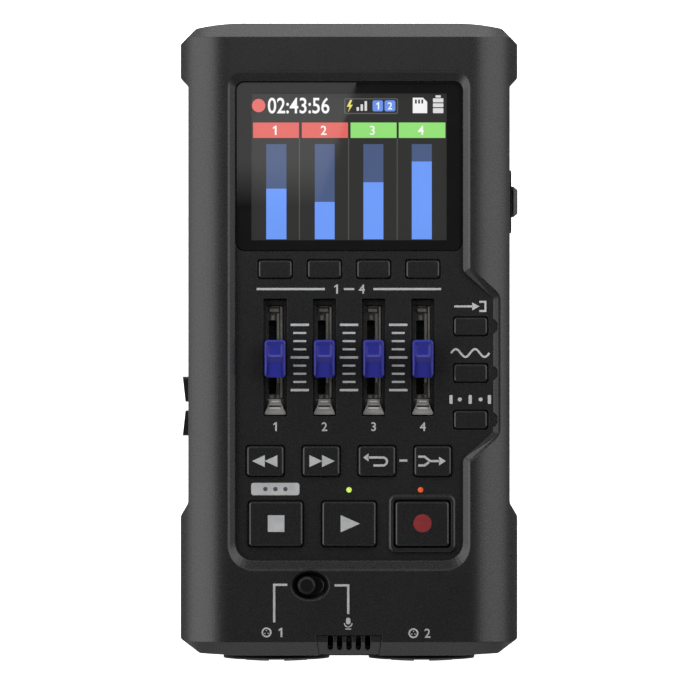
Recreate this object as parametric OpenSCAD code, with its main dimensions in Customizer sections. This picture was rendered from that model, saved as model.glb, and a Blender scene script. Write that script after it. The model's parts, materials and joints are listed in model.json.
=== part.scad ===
// Handheld four-track recorder, lying on its back.
// Lengths are in millimetres. +X is right, +Y is the display end, +Z comes out of the control panel.

/* [Case] */
// Width of the waist between the bumpers
waist_w = 80.4; // [79.8:0.1:82]
// Distance from the opening to the display end
top_end_l = 14.4; // [13:0.1:16]
// Distance from the opening to the jack end
low_end_l = 23.7; // [22.5:0.1:26]
// Thickness of the side, end and back walls
wall = 2; // [1.6:0.1:2.3]
// Flat strip of the front beside the opening
flat_edge = 0.85; // [0.6:0.05:1.2]
// Radius of the long front shoulders
shoulder_r = 20; // [18:0.5:24]
// Radius of the long back edges
back_r = 6; // [4:0.5:7]
// Length of the bevel at both ends of the front
end_bevel_l = 3.4; // [2.6:0.1:3.8]
// Height of the bevel at both ends of the front
end_bevel_h = 2.2; // [1.8:0.1:3]
// Bevel at both ends of the back
back_bevel = 3; // [2:0.1:3.6]
// Height of the parting line above the back
split_h = 15; // [12:0.5:16]
// Width and depth of the shadow line at the parting line
seam = 0.4; // [0.2:0.1:0.6]

/* [Bumpers] */
// Height of the bumpers above the waist
bumper_proud = 1.9; // [1.5:0.1:2.6]
// Length of the upper bumpers
top_bumper_l = 13.7; // [12.5:0.1:15]
// Length of the step below the upper bumpers
top_step_l = 2; // [1.5:0.1:4]
// Width of the upper corner cut
top_corner_w = 3.85; // [3:0.05:4.5]
// Length of the upper corner cut, from the end
top_corner_l = 5.2; // [4.5:0.1:6]
// Drop of the upper edge towards the corners
crown_drop = 1.3; // [1:0.1:1.6]
// Distance of the bend in the upper edge from the sides
crown_side = 10; // [9.6:0.1:11]
// Length of the lower bumpers
low_bumper_l = 34.9; // [30:0.1:36]
// Length of the step above the lower bumpers
low_step_l = 3.2; // [2.5:0.1:5]
// Width of the lower corner cut
low_corner_w = 4.8; // [4:0.1:5.4]
// Length of the lower corner cut, from the end
low_corner_l = 4.2; // [3.5:0.1:5]
// Rise of the lower edge towards the corners
low_rise = 0.55; // [0.3:0.05:0.8]
// Distance of the straight part of the lower edge from the sides
low_rise_side = 14; // [12:0.1:16]

/* [Front opening] */
// Distance of the opening from the sides
shoulder_w = 11.75; // [11.4:0.05:12.2]
// Depth of the control panel below the front
panel_recess = 2.4; // [2.1:0.1:3]
// Width of the rim slope at the sides
rim_w = 1.6; // [1.3:0.1:1.8]
// Width of the rim slope at the two ends
rim_end_w = 2.3; // [1.8:0.1:2.6]
// Height of the rim slope
rim_h = 1.1; // [0.8:0.1:1.6]
// Least height of the upright foot of the rim
rim_foot = 0.1; // [0.05:0.05:0.3]
// Corner radius of the opening, display end
opening_r = 2.3; // [1.5:0.1:3]
// Corner radius of the opening, transport end
opening_low_r = 4.6; // [4:0.1:6]
// Distance from the transport keys to the lower edge of the opening
panel_end = 3.625; // [3.4:0.025:5]
// Distance of the side key bay from the side
bay_side = 4.15; // [4:0.05:4.6]
// Space in the bay above the side keys
bay_top_gap = 4.805; // [4:0.005:6]
// Space in the bay below the side keys
bay_low_gap = 0.805; // [0.8:0.005:2]
// Length of the slanted ends of the bay
bay_slope_l = 6.8; // [5:0.1:8]
// Radius of the finger scallops beside the side keys
scallop_r = 2; // [1.6:0.1:2.4]

/* [Control panel] */
// Thickness of the panel
panel_t = 1.6; // [1.3:0.1:2]
// Width of the panel edge that lies under the rim
panel_lip = 0.9; // [0.6:0.1:1.1]
// Gap round the panel edge
panel_gap = 0.1; // [0.05:0.05:0.2]
// Height of the record key guard
guard_h = 0.9; // [0.6:0.1:1.2]
// Width of the record key guard
guard_w = 1.35; // [1.1:0.05:1.5]

/* [Display] */
// Length of the window
window_l = 41.8; // [41:0.1:43]
// Thickness of the window
window_t = 1.2; // [1:0.1:1.4]
// Height of the window above the panel
window_proud = 0.2; // [0.1:0.1:0.3]
// Distance from the track keys to the window
window_row = 2.215; // [2:0.005:3]
// Gap round the window
window_gap = 0.4; // [0.2:0.05:0.5]
// Distance of the lit screen from the sides of the window
screen_side = 3.65; // [3.2:0.05:5]
// Distance of the lit screen from the ends of the window
screen_end = 2.6; // [2.4:0.05:3.4]
// Border of the screen module outside the lit screen
lcd_border = 1.6; // [1.2:0.1:1.9]
// Thickness of the screen module
lcd_t = 2.4; // [2:0.1:3]

/* [Keys] */
// Gap round each key
key_gap = 0.32; // [0.25:0.01:0.36]
// Travel of each key
key_travel = 0.6; // [0.4:0.1:0.7]
// Width of the small keys
small_key_w = 8.4; // [8:0.1:9]
// Length of the small keys
small_key_l = 4.45; // [4:0.05:5]
// Height of the small keys above the panel
small_key_rise = 0.35; // [0.1:0.05:0.6]
// Distance between the track keys and between the faders, as a share of the opening
track_share = 0.2162; // [0.21:0.0001:0.222]
// Distance from the fader wells to the track keys
track_row = 4.435; // [3:0.005:6]
// Distance of the side keys from the edge of the bay
side_key_in = 5.65; // [5.4:0.05:6]
// Distance of the middle side key below the middle of the faders
side_key_drop = 3.9; // [3.4:0.1:4.4]
// Distance between the side keys
side_key_pitch = 11.67; // [11.2:0.01:11.9]
// Width of the second row keys
mid_key_w = 9.25; // [9:0.05:9.8]
// Length of the second row keys
mid_key_l = 7.45; // [7:0.05:7.8]
// Height of the second row keys above the panel
mid_key_rise = 1; // [0.6:0.1:1.4]
// Distance between the second row keys, as a share of the opening
mid_key_share = 0.2452; // [0.24:0.0001:0.248]
// Distance from the fader wells to the second row
mid_row = 7.475; // [6.5:0.025:9]
// Width of the transport keys
big_key_w = 13.45; // [13:0.05:14]
// Length of the transport keys
big_key_l = 11.15; // [10.6:0.05:11.4]
// Height of the transport keys above the panel
big_key_rise = 1.3; // [0.8:0.1:1.6]
// Distance between the transport keys, as a share of the opening
big_key_share = 0.3216; // [0.318:0.0001:0.325]
// Distance from the second row to the transport row
big_row = 6.4; // [6:0.1:8]
// Rounding of the upper key edges
key_edge = 0.45; // [0.3:0.05:0.6]
// Thickness of the key flange below the panel
key_flange_t = 0.8; // [0.6:0.1:1]
// Width of the key flange beyond the key
key_flange_w = 0.9; // [0.7:0.05:1]
// Height of a tact switch with its plunger
tact_h = 4.3; // [4:0.1:4.6]
// Width of a tact switch
tact_w = 5.2; // [4.5:0.1:6]
// Diameter of the two lights
light_d = 1.3; // [1:0.1:1.6]
// Distance from the transport row to the lights
light_row = 2.925; // [2.4:0.025:3.2]
// Distance of the record light from the middle of its key
light_side = 0.4; // [0:0.1:0.8]

/* [Faders] */
// Travel of a fader from end to end
fader_travel = 16.4; // [15:0.1:17]
// Middle of the faders
fader_y = -4.7; // [-4.9:0.1:-4.4]
// Width of a fader cap
cap_w = 5.3; // [5:0.1:5.6]
// Length of a fader cap
cap_l = 9.4; // [9:0.1:10]
// Distance of the middle of a fader cap below its lever
cap_drop = 0.3; // [0:0.1:0.6]
// Height of a fader cap
cap_h = 6; // [5:0.1:7]
// Gap between a fader cap and the panel
cap_gap = 0.5; // [0.4:0.1:0.8]
// Depth of the finger scoop at the lower end of a fader cap
scoop_depth = 1.05; // [0.8:0.05:1.4]
// Depth of the step under the ridge of a fader cap
step_depth = 0.8; // [0.6:0.05:1]
// Length of the step under the ridge of a fader cap
step_l = 1.3; // [1:0.1:1.6]
// Depth of the face above the ridge of a fader cap
face_depth = 0.3; // [0.2:0.05:0.5]
// Length of the slopes round the upper face of a fader cap
face_slope = 0.5; // [0.3:0.05:0.7]
// Width of the ridge of a fader cap
ridge_w = 0.15; // [0.1:0.05:0.4]
// Place of the ridge on a fader cap, as a share of its length from the upper end
ridge_share = 0.47; // [0.4:0.01:0.52]
// Width of the rails beside the finger scoop, at the ridge
cap_rail = 0.75; // [0.6:0.05:0.9]
// Width of the rails beside the finger scoop, at the lower end
cap_rail_low = 0.45; // [0.3:0.05:0.6]
// Side gap between a cap and the fader well
well_side = 0.32; // [0.25:0.01:0.45]
// Spare length at each end of a fader well
well_end = 1.8; // [1.5:0.05:2]
// Depth of the fader well walls below the panel
well_wall_h = 1.2; // [1:0.1:1.4]
// Thickness of the fader well walls
well_wall_t = 0.7; // [0.5:0.1:0.9]
// Width of the steel fader frame
frame_w = 4.2; // [3.8:0.1:4.6]
// Height of the steel fader frame
frame_h = 4.6; // [4.2:0.1:4.8]
// Thickness of the steel
steel_t = 0.5; // [0.4:0.1:0.6]
// Width of the fader lever
lever_w = 1.4; // [1.2:0.1:1.6]
// Length of the fader lever
lever_l = 1.4; // [1.2:0.1:2]

/* [Switches and sockets on the sides] */
// Middle of the power switch
power_y = 34.3; // [33:0.1:35]
// Length of the power switch plate
power_plate_l = 15.8; // [15:0.1:17]
// Height of the power switch plate
power_plate_h = 6.6; // [6:0.1:7]
// Height of the power switch plate above the side
power_plate_proud = 0.5; // [0.3:0.1:0.6]
// Length of the power switch knob at its foot
power_knob_l = 7.7; // [7:0.1:8]
// Height of the power switch knob above the side
power_knob_proud = 2.05; // [1.6:0.05:2.1]
// Travel of the power switch to each side
power_travel = 2; // [1.6:0.1:2.2]
// Middle of the pair of volume keys
volume_y = -16.9; // [-18:0.1:-16]
// Length of a volume key
volume_key_l = 6.35; // [6:0.05:6.6]
// Height of a volume key
volume_key_h = 6; // [5.5:0.1:6.4]
// Distance between the volume keys
volume_pitch = 8.5; // [8.4:0.05:9]
// Height of the far end of a volume key above the side
volume_proud = 1.5; // [1.2:0.1:1.7]
// Height of the near end of a volume key above the side
volume_low = 0.8; // [0.7:0.05:1]
// Travel of the volume keys
volume_travel = 0.5; // [0.3:0.1:0.6]
// Middle of the phones socket
phones_y = 2; // [1:0.5:4]
// Middle of the line socket
line_y = 17; // [15:0.5:19]
// Diameter of the hole in the small sockets
mini_bore_d = 3.6; // [3.5:0.05:3.7]
// Height and width of the small sockets
mini_jack_h = 5.5; // [5:0.1:5.8]
// Length of the small sockets behind the wall
mini_jack_l = 12; // [11:0.5:13]
// Middle of the USB socket
usb_y = 8; // [6:0.5:12]
// Width of the USB socket
usb_w = 8.94; // [8.8:0.02:9.1]
// Height of the USB socket
usb_h = 3.2; // [3:0.05:3.4]
// Middle of the card door
card_y = -20; // [-22:0.5:-16]
// Length of the card door
door_l = 16; // [15:0.1:18]
// Height of the card door
door_h = 5; // [4.6:0.1:5.6]
// Thickness of the card door
door_t = 1.2; // [1:0.1:1.3]
// Gap round doors, covers and side keys
door_gap = 0.25; // [0.2:0.05:0.3]

/* [Lower end] */
// Distance of the jack axes from the sides
jack_side = 22; // [21.6:0.1:22.4]
// Height of the jack axis above the back
jack_z = 19; // [18:0.5:20]
// Diameter of the jack collars
jack_d = 26.6; // [26:0.1:27]
// Height of the jack faces beyond the end of the case
jack_proud = 1.7; // [1.4:0.1:2]
// Radius of the domed jack faces
jack_face_r = 110; // [90:1:140]
// Length of the jacks
jack_l = 27; // [25:0.5:28]
// Inner diameter of the jack shell
jack_shell_in_d = 19.6; // [19.2:0.1:20]
// Diameter of the jack core
jack_core_d = 15.4; // [15:0.1:15.8]
// Diameter of the plug hole
jack_bore_d = 6.4; // [6.35:0.01:6.5]
// Gap between the jack collar and the case
jack_gap = 0.15; // [0.1:0.05:0.2]
// Middle of the source switch across the case
source_x = -9.7; // [-10:0.1:-9]
// Distance of the source switch from the lower end
source_end = 17.5; // [16.8:0.1:18]
// Width of the source switch dish
dish_w = 9.6; // [9.2:0.05:10]
// Length of the source switch dish
dish_l = 7.8; // [7.4:0.1:8.2]
// Depth of the source switch dish
dish_depth = 1.5; // [1.2:0.1:1.6]
// Diameter of the source switch knob
source_knob_d = 4.4; // [4:0.1:4.6]
// Travel of the source switch
source_travel = 1.8; // [1.4:0.1:2]
// Width of the microphone grille
grille_w = 16.6; // [16:0.1:18]
// Length of the microphone grille
grille_l = 5.1; // [4.9:0.1:5.3]
// Distance between the grille slots
slot_pitch = 2.33; // [2.1:0.01:2.5]
// Width of a grille slot
slot_w = 1.4; // [1.1:0.1:1.6]

/* [Battery bay and back] */
// Diameter of a cell
cell_d = 14.2; // [13.8:0.1:14.5]
// Length of a cell
cell_l = 50; // [49:0.1:50.5]
// Gap round the cells
cell_gap = 0.4; // [0.3:0.1:0.6]
// Space for the contacts at each end of the cells
contact_l = 1.6; // [1.2:0.1:2]
// Middle of the battery bay
battery_y = -14.5; // [-16:0.5:-13]
// Thickness of the battery bay walls
tray_wall = 3; // [2.6:0.1:3.4]
// Thickness of the battery bay roof
tray_roof = 1.2; // [1:0.1:1.6]
// Width of the ledge that the battery cover lies on
cover_ledge = 1.2; // [0.9:0.1:1.4]
// Thickness of the circuit boards
board_t = 1.6; // [1.2:0.1:2]
// Height of the pads under the main board
pad_h = 0.4; // [0.2:0.1:0.8]
// Space between the two large boards
board_space = 6.7; // [6.2:0.1:8]
// Space between the key board and the panel
key_space = 6.5; // [6.3:0.1:7]
// Distance of the case screws from the sides
screw_side = 6.6; // [6.2:0.1:7]
// Distance of the case screws from the ends
screw_end = 9.3; // [9:0.1:10]
// Diameter of the case screws
screw_d = 2; // [1.8:0.1:2.2]
// Diameter of the rubber feet
foot_d = 8; // [7:0.1:9]
// Height of the rubber feet below the back
foot_h = 1; // [0.6:0.1:1.6]

/* [Hidden] */
$fn = 64;
// Largest turn, and largest length, between two points of a rounded outline
arc_step = 12;
arc_chord = 2.5;
shoulder_steps = 20;
back_steps = 8;
reach = 1;
// Gap between flat faces that slide on each other
slide_gap = 0.05;
// Free travel before a key meets its switch
key_free = 0.1;
plunger_h = 0.9;
plunger_d = 3;
grille_drop = 0.3;
capsule_d = 6;
capsule_h = 2.7;
key_r = 0.8;
guard_r = 1.8;
guard_edge = 0.55;
guard_slope = 0.25;
well_r = 0.4;
cap_r = 0.9;
lever_r = 0.1;
lcd_r = 0.4;
screen_gap = 0.5;
tray_in_r = 1;
tray_r = 2;
power_plate_r = 1.4;
// Corner radius of small blocks
small_r = 0.25;
bay_inner_r = 2;
bay_outer_r = 1.2;
// Half width of the softened upper edge of the rim
rim_soft = 0.25;
// Distance of a scallop from the outer edge of the rim
scallop_in = 0.4;
// Depth to which inner posts run into the case
post_skin = 0.6;
post_r = 2.9;
board_post_r = 1.5;
main_post_r = 2;
pad_r = 2.5;
board_screw_d = 1.5;
board_screw_head = [2.6, 1];
pilot_gap = 0.05;
case_screw_head = [4.6, 1.8];
foot_inset = 0.6;
foot_side = 14.1;
foot_top_end = 17;
foot_low_end = 15;
screw_skin = 10;
main_screw_l = 6;
door_rise = 1;
card_rise = 0.45;
grille_foot = 0.8;
jack_lip = 0.45;
jack_edge = 0.3;
jack_face_steps = 6;
pivot_d = 1.2;
pivot_gap = 0.1;
pivot_l = 0.9;
// Spare depth behind a pivot
pivot_end = 0.2;
door_pivot_d = 0.7;
// Stem under a slide switch knob, and its slot
stem_w = 1.8;
stem_gap = 0.3;
stem_depth = 2;
source_stem_w = 0.8;
source_stem_gap = 0.1;
switch_depth = 4.5;
switch_size = [9, 5];
power_body = [6.2, 12];
power_knob_h = 4.6;
knob_taper = 0.85;
// Hollow in the power knob, and the band outside it
knob_hollow = [5.4, 0.8];
knob_band = 1;
knob_edge = 0.5;
knob_ring = 0.4;
side_flange_t = 0.7;
side_flange_w = 0.8;
flange_free = 0.8;
jack_collar_l = 8;
jack_back_t = 2;
jack_collar_step = 1.2;
xlr_pin = [5.3, 2.5, 16];
jack_notch = [3.8, 0.4];
grille_plate_t = 1.4;
capsule_wall = 1;
capsule_in = 1.2;
grille_taper = 0.9;
slot_ends = 1.4;
usb_wall = 0.3;
usb_l = 7.4;
usb_tongue = [6.7, 0.7];
socket_size = [13.2, 14, 1.9];
card_size = [14.3, 11, 0.85];
card_gap = 0.05;
cell_nub = [5.4, 1.2];
contact_w = 10;
connector_size = [24, 5];
connector_end = 15;
screw_drive = [2.8, 0.6, 0.8];
screw_sink = 0.6;
light_foot = [2, 1.6, 0.8];
light_proud = 0.15;
finger_dip = [16, 14, 0.8];
// Edges of the boards, from what they fit round
key_board_side = 3.55;
key_board_top_gap = 14.8;
key_board_edge = 3.3;
main_board_side = 2.2;
main_board_top_gap = 19.8;
jack_board_gap = 7;
board_clear = 0.3;
main_post_side = 5;
main_post_end = 8;
main_post_gap = 7.9;
pad_side = 9.4;
pad_end = 8.6;
// Panel posts: distance from the side of the opening, and from a row of keys
post_sides = [2.05, 2.25, 0.85];
post_rows = [4.76, 8.8, 8.1];
// Length and height of the block at the end of a fader frame
tab_block = [1.5, 1.5];
tab_foot_w = 3;
tab_gap = 0.35;
tab_rise = 1;
tab_in = 0.9;
lever_side = 0.7;
lever_play = 0.3;
carriage_gap = 0.2;
carriage_end = 1;

cell_count = 4;
cell_pitch = cell_d + cell_gap;
tray_w = cell_count * cell_pitch + cell_gap;
tray_l = cell_l + 2 * contact_l;
cell_z = wall + cell_gap + cell_d / 2;
tray_top = wall + 2 * cell_gap + cell_d;
main_board_low = tray_top + tray_roof + pad_h;
main_board_z = main_board_low + board_t;
key_board_low = main_board_z + board_space;
key_board_z = key_board_low + board_t;
panel_low = key_board_z + key_space;
panel_z = panel_low + panel_t;
case_t = panel_z + panel_recess;
side_z = main_board_z + mini_jack_h / 2;

side_x = waist_w / 2;
side_in = side_x - wall;
case_w = waist_w + 2 * bumper_proud;
opening_w = waist_w - 2 * shoulder_w;
opening_half_w = opening_w / 2;
flat_w = opening_w + 2 * flat_edge;
bay_x = side_x - bay_side;
window_w = opening_w - 2 * window_gap;
screen_w = window_w - 2 * screen_side;
screen_l = window_l - 2 * screen_end;
lcd_w = screen_w + 2 * lcd_border;
lcd_l = screen_l + 2 * lcd_border;
track_pitch = track_share * opening_w;
mid_key_pitch = mid_key_share * opening_w;
big_key_pitch = big_key_share * opening_w;
well_w = cap_w + 2 * well_side;
well_l = fader_travel + cap_l + 2 * well_end;

// Rows of the panel, from the faders outwards
track_key_y = fader_y + well_l / 2 + well_wall_t + track_row + small_key_l / 2;
window_y = track_key_y + small_key_l / 2 + window_row + window_gap + window_l / 2;
opening_top = window_y + window_l / 2 + window_gap;
case_top = opening_top + top_end_l;
side_key_x = bay_x - side_key_in;
side_key_y = fader_y - side_key_drop;
bay_top = side_key_y + side_key_pitch + small_key_l / 2 + bay_top_gap;
bay_low = side_key_y - side_key_pitch - small_key_l / 2 - bay_low_gap;
mid_key_y = fader_y - well_l / 2 - mid_row - mid_key_l / 2;
big_key_y = mid_key_y - mid_key_l / 2 - big_row - big_key_l / 2;
light_y = big_key_y + big_key_l / 2 + light_row;
light_x = [0, big_key_pitch - light_side];
opening_low = big_key_y - big_key_l / 2 - panel_end;
case_low = opening_low - low_end_l;
case_l = case_top - case_low;
body_y = (jack_proud - case_top - case_low) / 2;

guard_out = key_gap + guard_w;
key_flange_z = panel_low - slide_gap;
key_flange_low = key_flange_z - key_flange_t;
tact_top = key_board_z + tact_h;
key_foot_z = tact_top + key_free + key_travel;
window_low = panel_z + window_proud - window_t;
cap_z = panel_z + cap_gap;
frame_top = key_board_z + frame_h;
frame_l = well_l - 2 * well_end;
jack_x = side_x - jack_side;
jack_face_y = case_low - jack_proud;
jack_rear_y = jack_face_y + jack_l;
source_y = case_low + source_end;
dish_z = case_t - dish_depth;
grille_top_y = case_low + grille_l;
door_z = main_board_z + door_rise;
card_z = main_board_z + card_rise;
screw_x = case_w / 2 - screw_side;
screw_top = case_t - screw_skin;
main_screw_low = main_board_low - main_screw_l;
scallop_x = bay_x + rim_w - scallop_in - scallop_r;
cover_w = tray_w + 2 * cover_ledge;
cover_l = tray_l + 2 * cover_ledge;
cover_t = wall - slide_gap;
hinge_y = battery_y + cover_l / 2 - cover_t / 2;
key_board_half = opening_half_w + key_board_side;
main_board_w = 2 * (side_in - main_board_side);
main_board_top = case_top - main_board_top_gap;
main_board_end = jack_rear_y + board_t + jack_board_gap;
main_post_x = main_board_w / 2 - main_post_side;
pad_x = tray_w / 2 - pad_side;
pad_y = tray_l / 2 - pad_end;
foot_x = case_w / 2 - foot_side;

cell_x = [for (i = [0:cell_count - 1]) (i - (cell_count - 1) / 2) * cell_pitch];
track_x = [for (i = [0:3]) (i - 1.5) * track_pitch];
mid_key_x = [for (i = [0:3]) (i - 1.5) * mid_key_pitch];
big_key_x = [for (i = [-1:1]) i * big_key_pitch];
side_key_ys = [for (i = [1:-1:-1]) side_key_y + i * side_key_pitch];
volume_tact_x = side_in - flange_free - key_free - volume_travel - plunger_h;
source_slot_w = source_stem_w + 2 * source_stem_gap;
source_slot = [source_slot_w + source_travel, source_slot_w];
power_slot = [stem_w + 2 * power_travel + 2 * stem_gap, stem_w + 2 * stem_gap];
usb_z = main_board_z + usb_h / 2 + slide_gap;
door_axis = [side_x - door_t / 2, door_z - door_h / 2 + door_t / 2];
grille_z = case_t - end_bevel_h - grille_foot;
capsule_y = grille_top_y + capsule_in;
plate_z = panel_z - slide_gap;
capsule_z = plate_z - grille_plate_t;
volume_ys = [for (s = [1, -1]) volume_y + s * volume_pitch / 2];
screw_places = [for (x = [-screw_x, screw_x], y = [case_top - screw_end, case_low + screw_end]) [x, y]];
foot_places = [for (x = [-foot_x, foot_x], y = [case_top - foot_top_end, case_low + foot_low_end]) [x, y]];
pad_places = [for (x = [-pad_x, pad_x], y = [-pad_y, pad_y]) [x, battery_y + y]];
// Posts under the panel that carry the key board
post_x = [for (side = post_sides) opening_half_w - side];
panel_posts = [
    [post_x[0], track_key_y - post_rows[0]],
    [-post_x[0], track_key_y - post_rows[0]],
    [-post_x[1], mid_key_y + post_rows[1]],
    [post_x[2], big_key_y + post_rows[2]],
    [-post_x[2], big_key_y + post_rows[2]]];
// Posts on the back that carry the upper half of the main board
main_post_ys = [main_board_top - main_post_end, battery_y + tray_l / 2 + tray_wall + main_post_gap];
main_posts = [for (x = [-main_post_x, main_post_x], y = main_post_ys) [x, y]];
key_places = concat(
    [for (x = track_x) [x, track_key_y]],
    [for (y = side_key_ys) [side_key_x, y]],
    [for (x = mid_key_x) [x, mid_key_y]],
    [for (x = big_key_x) [x, big_key_y]]);

MID_KEYS = ["rewind_key", "forward_key", "undo_key", "bounce_key"];
BIG_KEYS = ["stop_key", "play_key", "record_key"];
SIDE_KEYS = ["input_key", "effect_key", "rhythm_key"];
VOLUME_KEYS = ["volume_up_key", "volume_down_key"];
JACK_SHELLS = ["input_jack_a_shell", "input_jack_b_shell"];
JACK_CORES = ["input_jack_a_core", "input_jack_b_core"];

// Outlines

function unit(v) = v / norm(v);
function left_of(v) = [-v[1], v[0]];
function spin(v, a) = [v[0] * cos(a) - v[1] * sin(a), v[0] * sin(a) + v[1] * cos(a)];

// A closed outline, anticlockwise, moved inwards by d
function inset(pts, d) =
    let (n = len(pts))
    [for (i = [0:n - 1])
        let (a = left_of(unit(pts[i] - pts[(i + n - 1) % n])),
             b = left_of(unit(pts[(i + 1) % n] - pts[i])))
        pts[i] + d * (a + b) / (1 + a * b)];

// A closed outline with each corner rounded to its radius
function rounded(pts, radii) =
    let (n = len(pts))
    [for (i = [0:n - 1])
        let (a = unit(pts[i] - pts[(i + n - 1) % n]),
             b = unit(pts[(i + 1) % n] - pts[i]),
             side = sign(a[0] * b[1] - a[1] * b[0]),
             turn = acos(min(1, max(-1, a * b))),
             start = pts[i] - a * radii[i] * tan(turn / 2),
             centre = start + left_of(a) * radii[i] * side,
             steps = ceil(max(turn / arc_step, radii[i] * turn * PI / 180 / arc_chord)))
        each [for (k = [0:steps]) centre + spin(start - centre, side * turn * k / steps)]];

function rect(w, l, r) =
    rounded([[w / 2, -l / 2], [w / 2, l / 2], [-w / 2, l / 2], [-w / 2, -l / 2]], [r, r, r, r]);

function oval(w, l) = [for (a = [0:arc_step:359]) [w / 2 * cos(a), l / 2 * sin(a)]];

// A right-hand half outline, listed upwards, completed with its mirror image
function both_sides(right) =
    concat(right, [for (i = [len(right) - 1:-1:0]) [-right[i][0], right[i][1]]]);

// The case seen from the front
function plan_pts() = both_sides([
    [case_w / 2 - low_rise_side, case_low],
    [case_w / 2 - low_corner_w, case_low + low_rise],
    [case_w / 2, case_low + low_corner_l],
    [case_w / 2, case_low + low_bumper_l],
    [waist_w / 2, case_low + low_bumper_l + low_step_l],
    [waist_w / 2, case_top - top_bumper_l - top_step_l],
    [case_w / 2, case_top - top_bumper_l],
    [case_w / 2, case_top - top_corner_l],
    [case_w / 2 - top_corner_w, case_top - crown_drop],
    [case_w / 2 - crown_side, case_top]]);
plan_right_radii = [20, 1, 1, 2, 2, 0.8, 0.8, 0.8, 0.8, 50];
plan_radii = concat(plan_right_radii, [for (i = [9:-1:0]) plan_right_radii[i]]);

// The case cut across, with the shoulders and back edges as arcs
function section_pts(gap, front_gap) =
    let (half = case_w / 2 - gap,
         r = shoulder_r - front_gap,
         rb = back_r - gap,
         last = acos((half - flat_w / 2) / r))
    both_sides(concat(
        [for (k = [0:back_steps])
            [case_w / 2 - back_r + rb * sin(90 * k / back_steps), back_r - rb * cos(90 * k / back_steps)]],
        [for (k = [0:shoulder_steps])
            let (a = last + (90 - last) * k / shoulder_steps)
            [flat_w / 2 + r * cos(a), case_t - shoulder_r + r * sin(a)]]));

// The case seen from the side, running past the front and both ends
function profile_pts() =
    let (high = case_top + reach,
         low = case_low - reach,
         top = case_t + reach)
    [[case_top - back_bevel, 0], [high, back_bevel + reach], [high, top + reach], [low, top + reach],
     [low, back_bevel + reach], [case_low + back_bevel, 0]];

// Height of the front at a distance from the middle line
function front_at(x) =
    let (over = max(0, abs(x) - flat_w / 2))
    case_t - shoulder_r + sqrt(shoulder_r * shoulder_r - over * over);

// The opening at the foot of the rim, moved outwards by out at the sides and by out_end at the ends
function opening_pts(out, out_end) =
    let (half = opening_half_w,
         extra = out_end - out,
         inner = max(0.2, bay_inner_r - out),
         outer = bay_outer_r + out)
    rounded(inset([
        [half, opening_low - extra],
        [half, bay_low - bay_slope_l],
        [bay_x, bay_low],
        [bay_x, bay_top],
        [half, bay_top + bay_slope_l],
        [half, opening_top + extra],
        [-half, opening_top + extra],
        [-half, opening_low - extra]], -out),
        [opening_low_r + out, inner, outer, outer, inner,
         opening_r + out, opening_r + out, opening_low_r + out]);

// Solids from outlines

module slab(pts, low, high) {
    translate([0, 0, low]) linear_extrude(high - low) polygon(pts);
}

// A solid through outlines with equally many points, listed upwards
module stacked(rings) {
    n = len(rings[0]);
    last = len(rings) - 1;
    polyhedron(
        points = [for (r = rings) each r],
        faces = concat(
            [[for (i = [0:n - 1]) i]],
            [[for (i = [n - 1:-1:0]) last * n + i]],
            [for (k = [0:last - 1], i = [0:n - 1])
                let (j = (i + 1) % n, a = k * n, b = a + n)
                each [[a + i, b + i, b + j], [a + i, b + j, a + j]]]));
}

function ring(pts, z) = [for (p = pts) [p[0], p[1], z]];
function upright(pts, y) = [for (p = pts) [p[0], y, p[1]]];

// A block with round corners and a rounded upper edge
module soft_block(w, l, r, low, high, edge) {
    hull() {
        slab(rect(w, l, r), low, high - edge);
        slab(rect(w - edge * 0.6, l - edge * 0.6, r - edge * 0.3), low, high - edge * 0.3);
        slab(rect(w - edge * 2, l - edge * 2, max(0.2, r - edge)), low, high);
    }
}

// A hole that widens upwards by slope on each side
module mouth(w, l, r, low, high, slope) {
    hull() {
        slab(rect(w, l, r), low, high);
        slab(rect(w + 2 * slope, l + 2 * slope, r + slope), high, high + reach);
    }
}

// A block given by its lowest and highest corners
module span(low, high) {
    translate(low) cube(high - low);
}

module rod_x(x0, x1, y, z, d) {
    translate([x0, y, z]) rotate([0, 90, 0]) cylinder(h = x1 - x0, d = d);
}

module rod_y(y0, y1, x, z, d) {
    translate([x, y0, z]) rotate([-90, 0, 0]) cylinder(h = y1 - y0, d = d);
}

module rod_z(z0, z1, p, d) {
    translate([p[0], p[1], z0]) cylinder(h = z1 - z0, d = d);
}

// A slab that stands on the side of the case: outline (along, up) at (y, z), from x0 to x1
module side_slab(pts, y, z, x0, x1) {
    translate([x0, y, z]) rotate([90, 0, 90]) linear_extrude(x1 - x0) polygon(pts);
}

// From the middle of the back face to the part's own frame
module place() {
    translate([0, body_y, foot_h]) children();
}

// Case

// The cross-section from end to end, with bevels that follow the front and its shoulders
module bevelled_form(gap, front_gap) {
    plain = section_pts(gap, front_gap);
    lowered = section_pts(gap, front_gap + end_bevel_h * (1 + reach / end_bevel_l));
    stacked([
        upright(lowered, case_top + reach),
        upright(plain, case_top - end_bevel_l),
        upright(plain, case_low + end_bevel_l),
        upright(lowered, case_low - reach)]);
}

module case_form(gap, front_gap) {
    intersection() {
        slab(rounded(inset(plan_pts(), gap), plan_radii), -reach, case_t + reach);
        bevelled_form(gap, front_gap);
        rotate([90, 0, 90]) linear_extrude(2 * case_w, center = true) polygon(inset(profile_pts(), gap));
    }
}

module layer(low, high) {
    span([-case_w, -case_l, low], [case_w, case_l, high]);
}

module shell(low, high) {
    difference() {
        intersection() {
            case_form(0, 0);
            layer(low, high);
        }
        case_form(wall, panel_recess);
    }
}

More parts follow.
